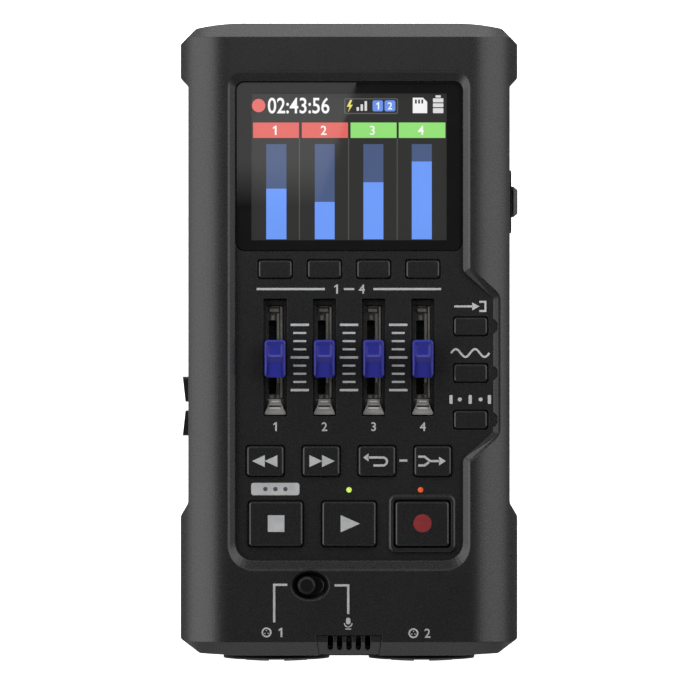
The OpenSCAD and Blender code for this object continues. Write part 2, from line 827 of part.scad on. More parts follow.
// The rim round the control panel, as the space that it leaves
module opening_space() {
    foot = opening_pts(0, 0);
    slope = opening_pts(rim_w - rim_soft, rim_end_w - rim_soft);
    edge = opening_pts(rim_w + rim_soft, rim_end_w + rim_soft);
    stacked([
        ring(foot, panel_z - reach),
        [for (p = foot) [p[0], p[1], max(panel_z + rim_foot, front_at(p[0]) - rim_h)]],
        [for (p = slope) [p[0], p[1], front_at(p[0]) - rim_soft]],
        [for (p = edge) [p[0], p[1], front_at(p[0])]],
        ring(edge, case_t + reach)]);
}

module jack_holes() {
    for (x = [-jack_x, jack_x])
        rod_y(jack_face_y - reach, jack_face_y + jack_l, x, jack_z, jack_d + 2 * jack_gap);
}

module dish_space() {
    floor_l = source_knob_d + 4 * slide_gap + stem_gap;
    translate([source_x, source_y, 0]) {
        stacked([
            ring(oval(floor_l + source_travel, floor_l), dish_z),
            ring(oval(dish_w, dish_l), case_t),
            ring(oval(dish_w, dish_l), case_t + reach)]);
        slab(rect(source_slot[0], source_slot[1], stem_gap), panel_z - reach, dish_z + reach);
    }
}

function grille_pts(gap) =
    let (w = grille_w / 2 - gap)
    [[w - grille_taper, case_low - reach], [w, grille_top_y - gap],
     [-w, grille_top_y - gap], [-w + grille_taper, case_low - reach]];

module side_spaces() {
    // Right side: power switch, USB socket and card door
    side_slab(rect(power_plate_l + 2 * slide_gap, power_plate_h + 2 * slide_gap, power_plate_r + slide_gap),
        power_y, side_z, side_x - wall / 2, side_x + reach);
    side_slab(rect(power_slot[0], power_slot[1], stem_gap), power_y, side_z, side_in - reach, side_x);
    side_slab(rect(usb_w + 2 * slide_gap, usb_h + 2 * slide_gap, usb_h / 2), usb_y, usb_z,
        side_in - reach, side_x + reach);
    door_space();
    // Left side: volume keys, phones and line sockets
    for (y = volume_ys)
        side_slab(rect(volume_key_l + 2 * door_gap, volume_key_h + 2 * door_gap, key_r + door_gap), y, side_z,
            -side_x - reach, -side_in + reach);
    for (y = [phones_y, line_y])
        rod_x(-side_x - reach, -side_in + reach, y, side_z, mini_jack_h + 2 * slide_gap);
}

module door_space() {
    side_slab(rect(door_l + 2 * door_gap, door_h + 2 * door_gap, door_gap), card_y, door_z,
        side_x - door_t - slide_gap, side_x + reach);
    side_slab(rect(door_l - 2 * door_t, door_h - 2 * reach, small_r), card_y, door_z,
        side_in - reach, side_x);
    rod_y(card_y - door_l / 2 - pivot_l, card_y + door_l / 2 + pivot_l, door_axis[0], door_axis[1],
        door_pivot_d + 2 * pivot_gap);
}

module front_case() {
    color("#3a3a3c") place() difference() {
        union() {
            shell(split_h, case_t + reach);
            intersection() {
                case_form(post_skin, post_skin);
                for (p = screw_places)
                    rod_z(split_h, case_t, p, 2 * post_r);
            }
        }
        opening_space();
        slab(opening_pts(panel_lip + panel_gap, panel_lip + panel_gap), split_h, panel_z);
        for (y = side_key_ys)
            rod_z(panel_z, case_t, [scallop_x, y], 2 * scallop_r);
        for (p = screw_places)
            rod_z(split_h - reach, screw_top + reach, p, screw_d + 2 * pilot_gap);
        jack_holes();
        dish_space();
        slab(grille_pts(0), grille_z, case_t + reach);
        side_spaces();
    }
}

module back_case() {
    color("#323234") place() difference() {
        union() {
            shell(-reach, split_h - seam);
            difference() {
                intersection() {
                    case_form(seam, 0);
                    layer(split_h - 2 * seam, split_h);
                }
                case_form(wall, panel_recess);
            }
            intersection() {
                case_form(post_skin, post_skin);
                for (p = screw_places)
                    rod_z(0, split_h, p, 2 * post_r);
            }
            for (p = main_posts)
                rod_z(wall / 2, main_board_low, p, 2 * main_post_r);
            translate([0, battery_y, 0])
                slab(rect(tray_w + 2 * tray_wall, tray_l + 2 * tray_wall, tray_r),
                    wall / 2, tray_top + tray_roof);
            for (p = pad_places)
                rod_z(tray_top, main_board_low, p, 2 * pad_r);
        }
        translate([0, battery_y, 0]) {
            slab(rect(tray_w, tray_l, tray_in_r), -reach, tray_top);
            slab(rect(cover_w + 2 * door_gap, cover_l + 2 * door_gap, door_gap), -reach, wall);
        }
        rod_x(-cover_w / 2 - pivot_l - pivot_end, cover_w / 2 + pivot_l + pivot_end, hinge_y, cover_t / 2,
            pivot_d + 2 * pivot_gap);
        for (p = screw_places) {
            rod_z(-reach, split_h + reach, p, screw_d + 2 * stem_gap);
            rod_z(-reach, screw_sink + case_screw_head[1], p, case_screw_head[0] + 2 * jack_gap);
        }
        for (p = main_posts)
            rod_z(main_screw_low - reach, main_board_low + reach, p, board_screw_d + 2 * pilot_gap);
        for (p = foot_places)
            rod_z(-reach, foot_inset, p, foot_d + 2 * slide_gap);
        jack_holes();
    }
}

// Control panel and display

module key_hole(p, w, l) {
    translate([p[0], p[1], 0])
        slab(rect(w + 2 * key_gap, l + 2 * key_gap, key_r + slide_gap),
            panel_low - reach, panel_z + guard_h + reach);
}

module control_panel() {
    color("#26262a") place() difference() {
        union() {
            slab(opening_pts(panel_lip, panel_lip), panel_low, panel_z);
            translate([big_key_pitch, big_key_y, 0])
                soft_block(big_key_w + 2 * guard_out, big_key_l + 2 * guard_out, guard_r,
                    panel_low, panel_z + guard_h, guard_edge);
            for (x = track_x)
                translate([x, fader_y, 0])
                    slab(rect(well_w + 2 * well_wall_t, well_l + 2 * well_wall_t, well_r + well_wall_t),
                        panel_low - well_wall_h, panel_low + reach);
            for (p = panel_posts)
                rod_z(key_board_z, panel_low + reach, p, 2 * board_post_r);
        }
        for (x = track_x)
            key_hole([x, track_key_y], small_key_w, small_key_l);
        for (y = side_key_ys)
            key_hole([side_key_x, y], small_key_w, small_key_l);
        for (x = mid_key_x)
            key_hole([x, mid_key_y], mid_key_w, mid_key_l);
        for (x = big_key_x)
            key_hole([x, big_key_y], big_key_w, big_key_l);
        translate([big_key_pitch, big_key_y, 0])
            mouth(big_key_w + 2 * key_gap, big_key_l + 2 * key_gap, key_r,
                panel_z + guard_h - guard_edge, panel_z + guard_h, guard_slope);
        for (x = track_x)
            translate([x, fader_y, 0])
                slab(rect(well_w, well_l, well_r), panel_low - well_wall_h - reach, panel_z + reach);
        translate([0, window_y, 0]) {
            slab(rect(window_w + 2 * window_gap, window_l + 2 * window_gap, opening_r),
                window_low, panel_z + reach);
            slab(rect(screen_w + 2 * screen_gap, screen_l + 2 * screen_gap, lcd_r),
                panel_low - reach, panel_z + reach);
        }
        for (x = light_x)
            rod_z(panel_low - reach, panel_z + reach, [x, light_y], light_d + 2 * slide_gap);
        for (p = panel_posts)
            rod_z(key_board_z - reach, panel_low, p, board_screw_d + 2 * pilot_gap);
    }
}

module display_window() {
    color("#15151a") place() translate([0, window_y, 0])
        slab(rect(window_w, window_l, opening_r - window_gap), window_low, window_low + window_t);
}

module lcd_panel() {
    color("#202834") place() translate([0, window_y, 0])
        slab(rect(lcd_w, lcd_l, lcd_r), panel_low - lcd_t, panel_low);
}

module lcd_frame() {
    color("#d8d4c8") place() translate([0, window_y, 0]) difference() {
        slab(rect(lcd_w, lcd_l, lcd_r), key_board_z, panel_low - lcd_t);
        slab(rect(lcd_w - 4 * lcd_border, lcd_l - 4 * lcd_border, lcd_r), key_board_z - reach, panel_low);
    }
}

// Keys

module key(p, w, l, rise) {
    place() translate([p[0], p[1], 0]) {
        soft_block(w, l, key_r, key_flange_low, panel_z + rise, key_edge);
        slab(rect(w + 2 * key_flange_w, l + 2 * key_flange_w, key_r), key_flange_low, key_flange_z);
        rod_z(key_foot_z, key_flange_low + slide_gap, [0, 0], plunger_d);
    }
}

module small_key(p) {
    color("#2b2b2e") key(p, small_key_w, small_key_l, small_key_rise);
}

module mid_key(x) {
    color("#2d2d30") key([x, mid_key_y], mid_key_w, mid_key_l, mid_key_rise);
}

module big_key(x) {
    color("#2d2d30") key([x, big_key_y], big_key_w, big_key_l, big_key_rise);
}

module key_switches() {
    color("#c8c4b8") place() {
        for (p = key_places)
            translate([p[0], p[1], 0]) {
                slab(rect(tact_w, tact_w, small_r), key_board_z, tact_top - plunger_h);
                rod_z(key_board_z, tact_top, [0, 0], plunger_d);
            }
        for (y = volume_ys) {
            span([-volume_tact_x, y - tact_w / 2, main_board_z],
                [-volume_tact_x + tact_h - plunger_h, y + tact_w / 2, main_board_z + mini_jack_h]);
            rod_x(-volume_tact_x - plunger_h, -volume_tact_x + reach, y, side_z, plunger_d);
        }
    }
}

// Faders

// The space of the finger scoop, steep below the ridge and open at the lower end
module cap_scoop() {
    top = cap_z + cap_h;
    half = cap_w / 2 - cap_rail;
    half_low = cap_w / 2 - cap_rail_low;
    ridge_y = cap_l / 2 - ridge_share * cap_l;
    hull() {
        span([-half, ridge_y - slide_gap, top], [half, ridge_y, top + reach]);
        span([-half, ridge_y - step_l, top - step_depth], [half, ridge_y - step_l + slide_gap, top + reach]);
        span([-half_low, -cap_l / 2 - reach, top - scoop_depth], [half_low, -cap_l / 2, top + reach]);
    }
}

// The space above the shallow face between the ridge and the upper end
module cap_face() {
    top = cap_z + cap_h;
    low_y = cap_l / 2 - ridge_share * cap_l + ridge_w;
    top_y = cap_l / 2 - cap_rail;
    translate([0, (low_y + top_y) / 2, 0])
        mouth(cap_w - 2 * cap_rail - 2 * face_slope, top_y - low_y - 2 * face_slope, small_r,
            top - face_depth, top, face_slope);
}

module fader_cap(x) {
    color("#26297a") place() translate([x, fader_y, 0]) difference() {
        translate([0, -cap_drop, 0]) difference() {
            soft_block(cap_w, cap_l, cap_r, cap_z, cap_z + cap_h, key_edge);
            cap_scoop();
            cap_face();
        }
        translate([-lever_side, 0, 0])
            slab(rect(lever_w + 2 * slide_gap, lever_l + 2 * slide_gap, lever_r),
                cap_z - reach, cap_z + cap_h / 2);
    }
}

module fader_lever(x) {
    color("#8a8c90") place() translate([x, fader_y, 0]) {
        translate([-lever_side, 0, 0])
            slab(rect(lever_w, lever_l, lever_r), key_board_z + reach, cap_z + cap_h / 2 - slide_gap);
        slab(rect(frame_w - 2 * (steel_t + carriage_gap), lever_l + 2 * carriage_end, small_r),
            key_board_z + reach, frame_top - steel_t - 2 * carriage_gap);
    }
}

module fader_frames() {
    slot_l = fader_travel + lever_l + 2 * lever_play;
    color("#b4b6b8") place()
        for (x = track_x)
            translate([x, fader_y, 0]) {
                difference() {
                    slab(rect(frame_w, frame_l, small_r), key_board_z, frame_top);
                    slab(rect(frame_w - 2 * steel_t, frame_l - 2 * steel_t, small_r),
                        key_board_z - reach, frame_top - steel_t);
                    translate([-lever_side, 0, 0])
                        slab(rect(lever_w + 2 * lever_play, slot_l, small_r), key_board_z, frame_top + reach);
                }
                fader_end_tab();
            }
}

// Block and bent tab at the lower end of a fader frame, widening towards the panel
module fader_end_tab() {
    foot_y = -frame_l / 2 + tab_in;
    foot_z = frame_top + tab_block[1];
    top_y = -well_l / 2 + tab_gap;
    half_w = well_w / 2 - tab_gap;
    span([-tab_foot_w / 2, foot_y, frame_top - steel_t], [tab_foot_w / 2, foot_y + tab_block[0], foot_z]);
    hull() {
        span([-tab_foot_w / 2, foot_y, foot_z - steel_t], [tab_foot_w / 2, foot_y + steel_t, foot_z]);
        span([-half_w, top_y, foot_z + tab_rise - steel_t], [half_w, top_y + steel_t, foot_z + tab_rise]);
    }
}

// Lights

module light(x) {
    color("#c8d86a") place() {
        rod_z(key_board_z, panel_z + light_proud, [x, light_y], light_d);
        translate([x, light_y, 0])
            slab(rect(light_foot[0], light_foot[1], small_r), key_board_z, key_board_z + light_foot[2]);
    }
}

// Source switch and microphone

module source_switch_knob() {
    rest_x = source_x - source_travel / 2;
    color("#1c1c20") place() translate([rest_x, source_y, 0]) {
        slab(rect(source_stem_w, source_stem_w, small_r), panel_z - stem_depth, case_t - knob_ring);
        rod_z(dish_z + jack_gap, case_t - knob_ring, [0, 0], source_knob_d);
        rod_z(dish_z + jack_gap, case_t, [0, 0], source_knob_d - 2 * knob_ring);
    }
}

module mic_grille() {
    plate_low_y = grille_top_y - capsule_in;
    plate_top_y = capsule_y + capsule_d / 2 + capsule_wall;
    color("#37373a") place() difference() {
        union() {
            intersection() {
                slab(grille_pts(2 * slide_gap), grille_z + 2 * slide_gap, case_t);
                case_form(grille_drop, grille_drop);
            }
            span([-grille_w / 2 - reach, plate_low_y, capsule_z],
                [grille_w / 2 + reach, plate_top_y, plate_z]);
            rod_z(capsule_z - capsule_h, capsule_z, [0, capsule_y], capsule_d + 2 * capsule_wall);
        }
        rod_z(capsule_z - capsule_h - reach, capsule_z, [0, capsule_y], capsule_d + 2 * slide_gap);
        for (i = [-2:2])
            translate([i * slot_pitch, case_low + grille_l / 2 + slot_ends / 2, 0])
                slab(rect(slot_w, grille_l - slot_ends, slot_w / 2 - slide_gap),
                    panel_low - reach, case_t + reach);
    }
}

module mic_capsule() {
    color("#9a9ca0") place() rod_z(capsule_z - capsule_h, capsule_z, [0, capsule_y], capsule_d);
}

// Slide switches behind the source knob and the power knob
module switch_bodies() {
    color("#55575a") place() {
        translate([source_x, source_y, 0]) difference() {
            slab(rect(switch_size[0], switch_size[1], small_r), panel_z - switch_depth, plate_z);
            slab(rect(source_slot[0], source_slot[1], stem_gap),
                panel_z - stem_depth - stem_gap, panel_z + reach);
        }
        difference() {
            span([side_in - stem_gap - power_body[0], power_y - power_body[1] / 2, main_board_z],
                [side_in - stem_gap, power_y + power_body[1] / 2, main_board_z + mini_jack_h]);
            side_slab(rect(power_slot[0], power_slot[1], stem_gap), power_y, side_z,
                side_in - stem_depth - 2 * stem_gap, side_in + reach);
        }
    }
}

// Side switches and keys

module power_switch_plate() {
    color("#1e1e21") place() difference() {
        side_slab(rect(power_plate_l, power_plate_h, power_plate_r), power_y, side_z,
            side_x - wall / 2, side_x + power_plate_proud);
        side_slab(rect(power_slot[0], power_slot[1], stem_gap), power_y, side_z,
            side_in, side_x + power_plate_proud + reach);
    }
}

module power_switch_knob() {
    foot_x = side_x + power_plate_proud + slide_gap;
    top_l = power_knob_l - 2 * knob_taper;
    top_h = power_knob_h - knob_taper;
    end_x = side_x + power_knob_proud;
    color("#2a2a2d") place() difference() {
        union() {
            side_slab(rect(stem_w, stem_w, small_r), power_y, side_z,
                side_in - stem_depth, foot_x + knob_edge);
            translate([foot_x, power_y, side_z]) rotate([90, 0, 90]) hull() {
                linear_extrude(knob_edge) polygon(rect(power_knob_l, power_knob_h, knob_edge));
                linear_extrude(end_x - foot_x) polygon(rect(top_l, top_h, knob_edge));
            }
        }
        span([foot_x - reach, power_y - knob_hollow[0] / 2, side_z + power_knob_h / 2 - knob_hollow[1]],
            [end_x - knob_band, power_y + knob_hollow[0] / 2, side_z + power_knob_h]);
    }
}

// Wedge key on the left side, highest at its outer end
module volume_key(i) {
    half = volume_key_l / 2;
    flange_x = side_in - slide_gap;
    up_x = side_x + (i == 0 ? volume_proud : volume_low);
    down_x = side_x + (i == 0 ? volume_low : volume_proud);
    root_x = flange_x - side_flange_t / 2;
    color("#222225") place() translate([0, volume_ys[i], side_z]) {
        intersection() {
            translate([0, 0, -volume_key_h / 2]) linear_extrude(volume_key_h)
                polygon([[-root_x, -half], [-root_x, half], [-up_x, half], [-down_x, -half]]);
            side_slab(rect(volume_key_l, volume_key_h, key_r), 0, 0, -side_x - 2 * volume_proud, -root_x);
        }
        side_slab(rect(volume_key_l + 2 * side_flange_w, volume_key_h + 2 * side_flange_w, key_r), 0, 0,
            -flange_x, -flange_x + side_flange_t);
        rod_x(-flange_x, -volume_tact_x - plunger_h - key_free - volume_travel, 0, 0, plunger_d);
    }
}

// Sockets

module mini_jacks() {
    color("#303034") place()
        for (y = [phones_y, line_y])
            difference() {
                union() {
                    rod_x(-side_x + 2 * slide_gap, -side_in + reach, y, side_z, mini_jack_h);
                    span([-side_in + slide_gap, y - mini_jack_h / 2, main_board_z],
                        [-side_in + mini_jack_l, y + mini_jack_h / 2, main_board_z + mini_jack_h]);
                }
                rod_x(-side_x - reach, -side_in + mini_jack_l - reach, y, side_z, mini_bore_d);
            }
}

module usb_port() {
    mouth_x = side_x - 2 * slide_gap;
    back_x = mouth_x - usb_l;
    color("#b8babd") place() {
        difference() {
            side_slab(rect(usb_w, usb_h, usb_h / 2 - slide_gap), usb_y, usb_z, back_x, mouth_x);
            side_slab(rect(usb_w - 2 * usb_wall, usb_h - 2 * usb_wall, usb_h / 2 - usb_wall - slide_gap),
                usb_y, usb_z, back_x + reach, mouth_x + reach);
        }
        side_slab(rect(usb_tongue[0], usb_tongue[1], small_r), usb_y, usb_z, back_x, mouth_x - reach);
    }
}

module card_socket() {
    mouth_x = main_board_w / 2 - 2 * slide_gap;
    color("#a8aaad") place() difference() {
        span([mouth_x - socket_size[0], card_y - socket_size[1] / 2, main_board_z],
            [mouth_x, card_y + socket_size[1] / 2, main_board_z + socket_size[2]]);
        span([mouth_x - socket_size[0] + reach, card_y - card_size[1] / 2 - card_gap, card_z - card_gap],
            [mouth_x + reach, card_y + card_size[1] / 2 + card_gap, card_z + card_size[2] + card_gap]);
    }
}

module memory_card() {
    back_x = main_board_w / 2 - socket_size[0] + reach;
    color("#1a1a1c") place()
        span([back_x, card_y - card_size[1] / 2, card_z],
            [back_x + card_size[0], card_y + card_size[1] / 2, card_z + card_size[2]]);
}

module card_door() {
    color("#2c2c2f") place() {
        span([side_x - door_t, card_y - door_l / 2, door_axis[1]],
            [side_x, card_y + door_l / 2, door_z + door_h / 2]);
        rod_y(card_y - door_l / 2, card_y + door_l / 2, door_axis[0], door_axis[1], door_t);
        rod_y(card_y - door_l / 2 - pivot_l + pivot_end, card_y + door_l / 2 + pivot_l - pivot_end,
            door_axis[0], door_axis[1], door_pivot_d);
    }
}

// Turns a solid of revolution about Z into one about Y, starting at the jack face and running inwards
module at_jack(x) {
    place() translate([x, jack_face_y, jack_z]) rotate([-90, 0, 0]) children();
}

// Points of the domed face from radius r0 to r1
function dome_pts(r0, r1) =
    [for (k = [0:jack_face_steps])
        let (r = r0 + (r1 - r0) * k / jack_face_steps)
        [r, r * r / (2 * jack_face_r)]];

module jack_slot() {
    translate([-jack_notch[0] / 2, -jack_d, -reach]) cube([jack_notch[0], 2 * jack_d, reach + jack_notch[1]]);
}

module input_jack_shell(x) {
    out = jack_d / 2;
    in = jack_shell_in_d / 2;
    rear = out - jack_collar_step;
    face = dome_pts(in + jack_lip, out - jack_edge);
    color("#1a1a1c") at_jack(x) difference() {
        rotate_extrude($fn = 96)
            polygon(concat([[in, face[0][1] + jack_lip]], face,
                [[out, face[jack_face_steps][1] + jack_edge], [out, jack_collar_l],
                [rear, jack_collar_l], [rear, jack_l], [0, jack_l], [0, jack_l - jack_back_t],
                [in, jack_l - jack_back_t]]));
        jack_slot();
    }
}

module input_jack_core(x) {
    back = jack_l - jack_back_t;
    color("#111113") at_jack(x) difference() {
        rotate_extrude($fn = 96)
            polygon(concat(dome_pts(0, jack_core_d / 2), [[jack_core_d / 2, back], [0, back]]));
        translate([0, 0, -reach]) cylinder(h = jack_l, d = jack_bore_d);
        for (a = [90, 210, 330])
            rotate(a) translate([xlr_pin[0], 0, -reach]) cylinder(h = xlr_pin[2] + reach, d = xlr_pin[1]);
        jack_slot();
    }
}

// Boards inside

module key_board() {
    low_y = big_key_y - key_board_edge;
    slope = bay_x - key_board_half;
    color("#1f4a36") place() difference() {
        slab([[key_board_half, low_y], [key_board_half, bay_low - slope], [bay_x, bay_low],
            [bay_x, bay_top], [key_board_half, bay_top + slope],
            [key_board_half, case_top - key_board_top_gap], [-key_board_half, case_top - key_board_top_gap],
            [-key_board_half, low_y]], key_board_low, key_board_z);
        for (p = panel_posts)
            rod_z(key_board_low - reach, key_board_z + reach, p, board_screw_d + 2 * jack_gap);
    }
}

module main_board() {
    color("#1f4a36") place() difference() {
        translate([0, (main_board_top + main_board_end) / 2, 0])
            slab(rect(main_board_w, main_board_top - main_board_end, board_t), main_board_low, main_board_z);
        for (p = main_posts)
            rod_z(main_board_low - reach, main_board_z + reach, p, board_screw_d + 2 * jack_gap);
    }
}

module jack_board() {
    half = jack_d / 2 - jack_collar_step;
    color("#1f4a36") place()
        span([-jack_x - half, jack_rear_y, jack_z - half],
            [jack_x + half, jack_rear_y + board_t, min(jack_z + half, key_board_low - board_clear)]);
}

module board_connector() {
    color("#e4e0d4") place() translate([0, main_board_top - connector_end, 0])
        slab(rect(connector_size[0], connector_size[1], small_r), main_board_z, key_board_low);
}

// Battery bay

module battery_cover() {
    low_y = battery_y - cover_l / 2;
    color("#343437") place() {
        difference() {
            union() {
                span([-cover_w / 2, low_y, 0], [cover_w / 2, hinge_y, cover_t]);
                rod_x(-cover_w / 2, cover_w / 2, hinge_y, cover_t / 2, cover_t);
            }
            rod_x(-finger_dip[0] / 2, finger_dip[0] / 2, low_y + finger_dip[1] / 2,
                finger_dip[2] - finger_dip[1] / 2, finger_dip[1]);
        }
        rod_x(-cover_w / 2 - pivot_l, cover_w / 2 + pivot_l, hinge_y, cover_t / 2, pivot_d);
    }
}

module battery_cells() {
    color("#c07a30") place()
        for (i = [0:cell_count - 1])
            translate([cell_x[i], battery_y, cell_z]) rotate([i % 2 == 0 ? 90 : -90, 0, 0]) {
                translate([0, 0, -cell_l / 2]) cylinder(h = cell_l - cell_nub[1], d = cell_d);
                cylinder(h = cell_l / 2, d = cell_nub[0]);
            }
}

module battery_contacts() {
    color("#c9ccd0") place()
        for (x = cell_x, s = [-1, 1])
            translate([x, battery_y + s * (cell_l + contact_l) / 2, cell_z])
                cube([contact_w, contact_l - 2 * slide_gap, contact_w], center = true);
}

// Fasteners and feet

module case_screws() {
    color("#8f9296") place()
        for (p = screw_places)
            difference() {
                union() {
                    rod_z(screw_sink, screw_sink + case_screw_head[1], p, case_screw_head[0]);
                    rod_z(screw_sink, screw_top, p, screw_d);
                }
                for (a = [0, 90])
                    translate([p[0], p[1], screw_sink]) rotate(a)
                        cube([screw_drive[0], screw_drive[1], 2 * screw_drive[2]], center = true);
            }
}

module board_screws() {
    color("#8f9296") place() {
        for (p = panel_posts) {
            rod_z(key_board_low - board_screw_head[1], key_board_low, p, board_screw_head[0]);
            rod_z(key_board_low - board_screw_head[1], panel_low - reach, p, board_screw_d);
        }
        for (p = main_posts) {
            rod_z(main_board_z, main_board_z + board_screw_head[1], p, board_screw_head[0]);
            rod_z(main_screw_low, main_board_z + board_screw_head[1], p, board_screw_d);
        }
    }
}

module rubber_feet() {
    color("#151517") place()
        for (p = foot_places)
            rod_z(-foot_h, foot_inset, p, foot_d);
}

front_case();
back_case();
control_panel();
display_window();
lcd_panel();
lcd_frame();
for (i = [1:4]) {
    small_key([track_x[i - 1], track_key_y]);
    fader_cap(track_x[i - 1]);
    fader_lever(track_x[i - 1]);
    mid_key(mid_key_x[i - 1]);
}
for (i = [0:2]) {
    small_key([side_key_x, side_key_ys[i]]);
    big_key(big_key_x[i]);
}
for (i = [0:1]) {
    volume_key(i);
    input_jack_shell((2 * i - 1) * jack_x);
    input_jack_core((2 * i - 1) * jack_x);
}
fader_frames();
light(light_x[0]);  // play_light
light(light_x[1]);  // record_light
source_switch_knob();
mic_grille();
mic_capsule();
power_switch_plate();
power_switch_knob();
mini_jacks();
usb_port();
card_socket();
memory_card();
card_door();
key_board();
main_board();
jack_board();
board_connector();
key_switches();
switch_bodies();
battery_cover();
battery_cells();
battery_contacts();
case_screws();
board_screws();
rubber_feet();
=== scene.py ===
import json
import math

import bmesh
import bpy
from mathutils import Matrix, Vector


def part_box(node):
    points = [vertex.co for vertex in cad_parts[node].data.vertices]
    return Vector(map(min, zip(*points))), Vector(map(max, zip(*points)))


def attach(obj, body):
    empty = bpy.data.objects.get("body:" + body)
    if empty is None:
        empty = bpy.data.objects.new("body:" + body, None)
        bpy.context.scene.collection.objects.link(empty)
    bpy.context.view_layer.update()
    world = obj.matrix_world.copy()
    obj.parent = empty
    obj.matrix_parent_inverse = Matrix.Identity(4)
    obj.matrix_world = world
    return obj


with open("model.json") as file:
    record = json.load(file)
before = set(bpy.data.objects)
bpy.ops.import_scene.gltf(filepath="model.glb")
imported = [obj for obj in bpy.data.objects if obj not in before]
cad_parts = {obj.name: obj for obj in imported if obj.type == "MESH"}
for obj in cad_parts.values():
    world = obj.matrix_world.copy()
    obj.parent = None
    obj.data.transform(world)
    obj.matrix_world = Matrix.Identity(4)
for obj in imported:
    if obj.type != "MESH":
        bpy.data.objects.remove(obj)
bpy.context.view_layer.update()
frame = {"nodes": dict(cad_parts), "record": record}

MM = 0.001
scene = bpy.context.scene
nodes = frame["nodes"]
record = frame["record"]


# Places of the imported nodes, in millimetres

def corners(node):
    low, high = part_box(node)
    return Vector(low) / MM, Vector(high) / MM


def middle(node):
    low, high = corners(node)
    return (low + high) / 2


def top(node):
    return corners(node)[1].z


# The panel lies this far below the face of the display window
WINDOW_PROUD = 0.2
PANEL_Z = top("display_window") - WINDOW_PROUD
FRONT_Z = top("front_case")
SIDE_X = corners("card_door")[1].x

# The source switch moves to and fro in a dish whose middle is the middle of its travel
travel = {j["child"]: j["range_m"] for j in record["behaviour"]["joints"] if "range_m" in j}
DISH = middle("source_switch_knob") + Vector((sum(travel["source_switch_knob"]) / 2 / MM, 0, 0))
DISH_HALF = (4.8, 3.9)
# The painted shade in the dish lies a little above its middle
DISH_SHADE = 0.4

# Border of the screen that the window's black print covers: left and right, lower, upper
BORDER_SIDE, BORDER_LOW, BORDER_TOP = 1.6, 1.4, 1.7

# The upper plate of the fader frames lies below the tips of their tabs
TAB_H = 2.5
FADER_PLATE_Z = top("fader_frames") - TAB_H
FADERS = [middle("fader_lever_%d" % i) for i in range(1, 5)]
# The frames are painted dark above this place, counted from the middle of the levers: painted shade deep in
# the wells
SHADE_Y = -10.35


# Node helpers

# Most of a noise lies between these values
NOISE_LOW, NOISE_HIGH = 0.3, 0.7


def feed(tree, socket, value):
    if isinstance(value, bpy.types.NodeSocket):
        tree.links.new(value, socket)
    else:
        socket.default_value = value


def add(tree, kind, sockets=None, **settings):
    node = tree.nodes.new(kind)
    for key, value in settings.items():
        setattr(node, key, value)
    for key, value in (sockets or {}).items():
        feed(tree, node.inputs[key], value)
    return node


def sums(tree, operation, *values):
    return add(tree, "ShaderNodeMath", dict(enumerate(values)), operation=operation).outputs[0]


def vectors(tree, operation, *values):
    return add(tree, "ShaderNodeVectorMath", dict(enumerate(values)), operation=operation).outputs


def axes(tree, co):
    return add(tree, "ShaderNodeSeparateXYZ", {0: co}).outputs


def blended(tree, fac, a, b):
    return add(tree, "ShaderNodeMix", {0: fac, 6: a, 7: b}, data_type="RGBA").outputs[2]


def ranged(tree, value, low, high, to_low, to_high):
    return add(tree, "ShaderNodeMapRange", {0: value, 1: low, 2: high, 3: to_low, 4: to_high}).outputs[0]


def spread(tree, value, low, high):
    """A noise, brought to the range from low to high."""
    return ranged(tree, value, NOISE_LOW, NOISE_HIGH, low, high)


def ramp(tree, fac, stops):
    node = add(tree, "ShaderNodeValToRGB", {0: fac})
    ends = node.color_ramp.elements
    while len(ends) < len(stops):
        ends.new(0.5)
    for end, (place, rgb) in zip(ends, stops):
        end.position = place
        end.color = (*rgb, 1)
    return node.outputs[0]


def tinted(tree, value, dark, light):
    """A noise as colours from dark to light."""
    return ramp(tree, value, [(NOISE_LOW, dark), (NOISE_HIGH, light)])


def noise(tree, co, size, detail=2.0, stretch=None):
    """Noise with features of about size millimetres, longer along the axes that stretch names."""
    if stretch:
        co = add(tree, "ShaderNodeMapping", {"Vector": co, "Scale": stretch}).outputs[0]
    sockets = {"Vector": co, "Scale": 1 / (size * MM), "Detail": detail}
    return add(tree, "ShaderNodeTexNoise", sockets).outputs[0]


def softened(tree, radius):
    """Normal of a surface whose edges have that radius in millimetres."""
    return add(tree, "ShaderNodeBevel", {"Radius": radius * MM}, samples=4).outputs[0]


def roughen(tree, shader, height, strength, depth, normal=None):
    """Bumps of that depth in millimetres on a shader's surface."""
    lump = add(tree, "ShaderNodeBump", {"Height": height, "Strength": strength, "Distance": depth * MM})
    if normal:
        feed(tree, lump.inputs["Normal"], normal)
    feed(tree, shader.inputs["Normal"], lump.outputs[0])


def linear(r, g, b):
    """sRGB numbers from 0 to 255 as a linear colour."""
    def one(c):
        c /= 255
        return c / 12.92 if c <= 0.04045 else ((c + 0.055) / 1.055) ** 2.4
    return (one(r), one(g), one(b))


def scaled(rgb, k):
    return tuple(min(1, c * k) for c in rgb)


def grey(c):
    return (c, c, c)


def start(name):
    """A new material, its node tree and shader, and the place on the object in metres."""
    material = bpy.data.materials.new(name)
    material.use_nodes = True
    tree = material.node_tree
    co = add(tree, "ShaderNodeTexCoord").outputs["Object"]
    return material, tree, tree.nodes["Principled BSDF"], co


# Materials

def in_bowl(tree, co, centre, half, depth=0.6):
    """One inside an oval bowl and nought outside, from the middle of its edge and its half sizes."""
    away = vectors(tree, "SUBTRACT", co, tuple(c * MM for c in centre))[0]
    share = vectors(tree, "DIVIDE", away, (half[0] * MM, half[1] * MM, 1))[0]
    near = ranged(tree, vectors(tree, "LENGTH", share)["Value"], 0.97, 1.03, 1, 0)
    under = ranged(tree, axes(tree, away)["Z"], -depth * MM, 0, 1, 0)
    return sums(tree, "MULTIPLY", near, under)


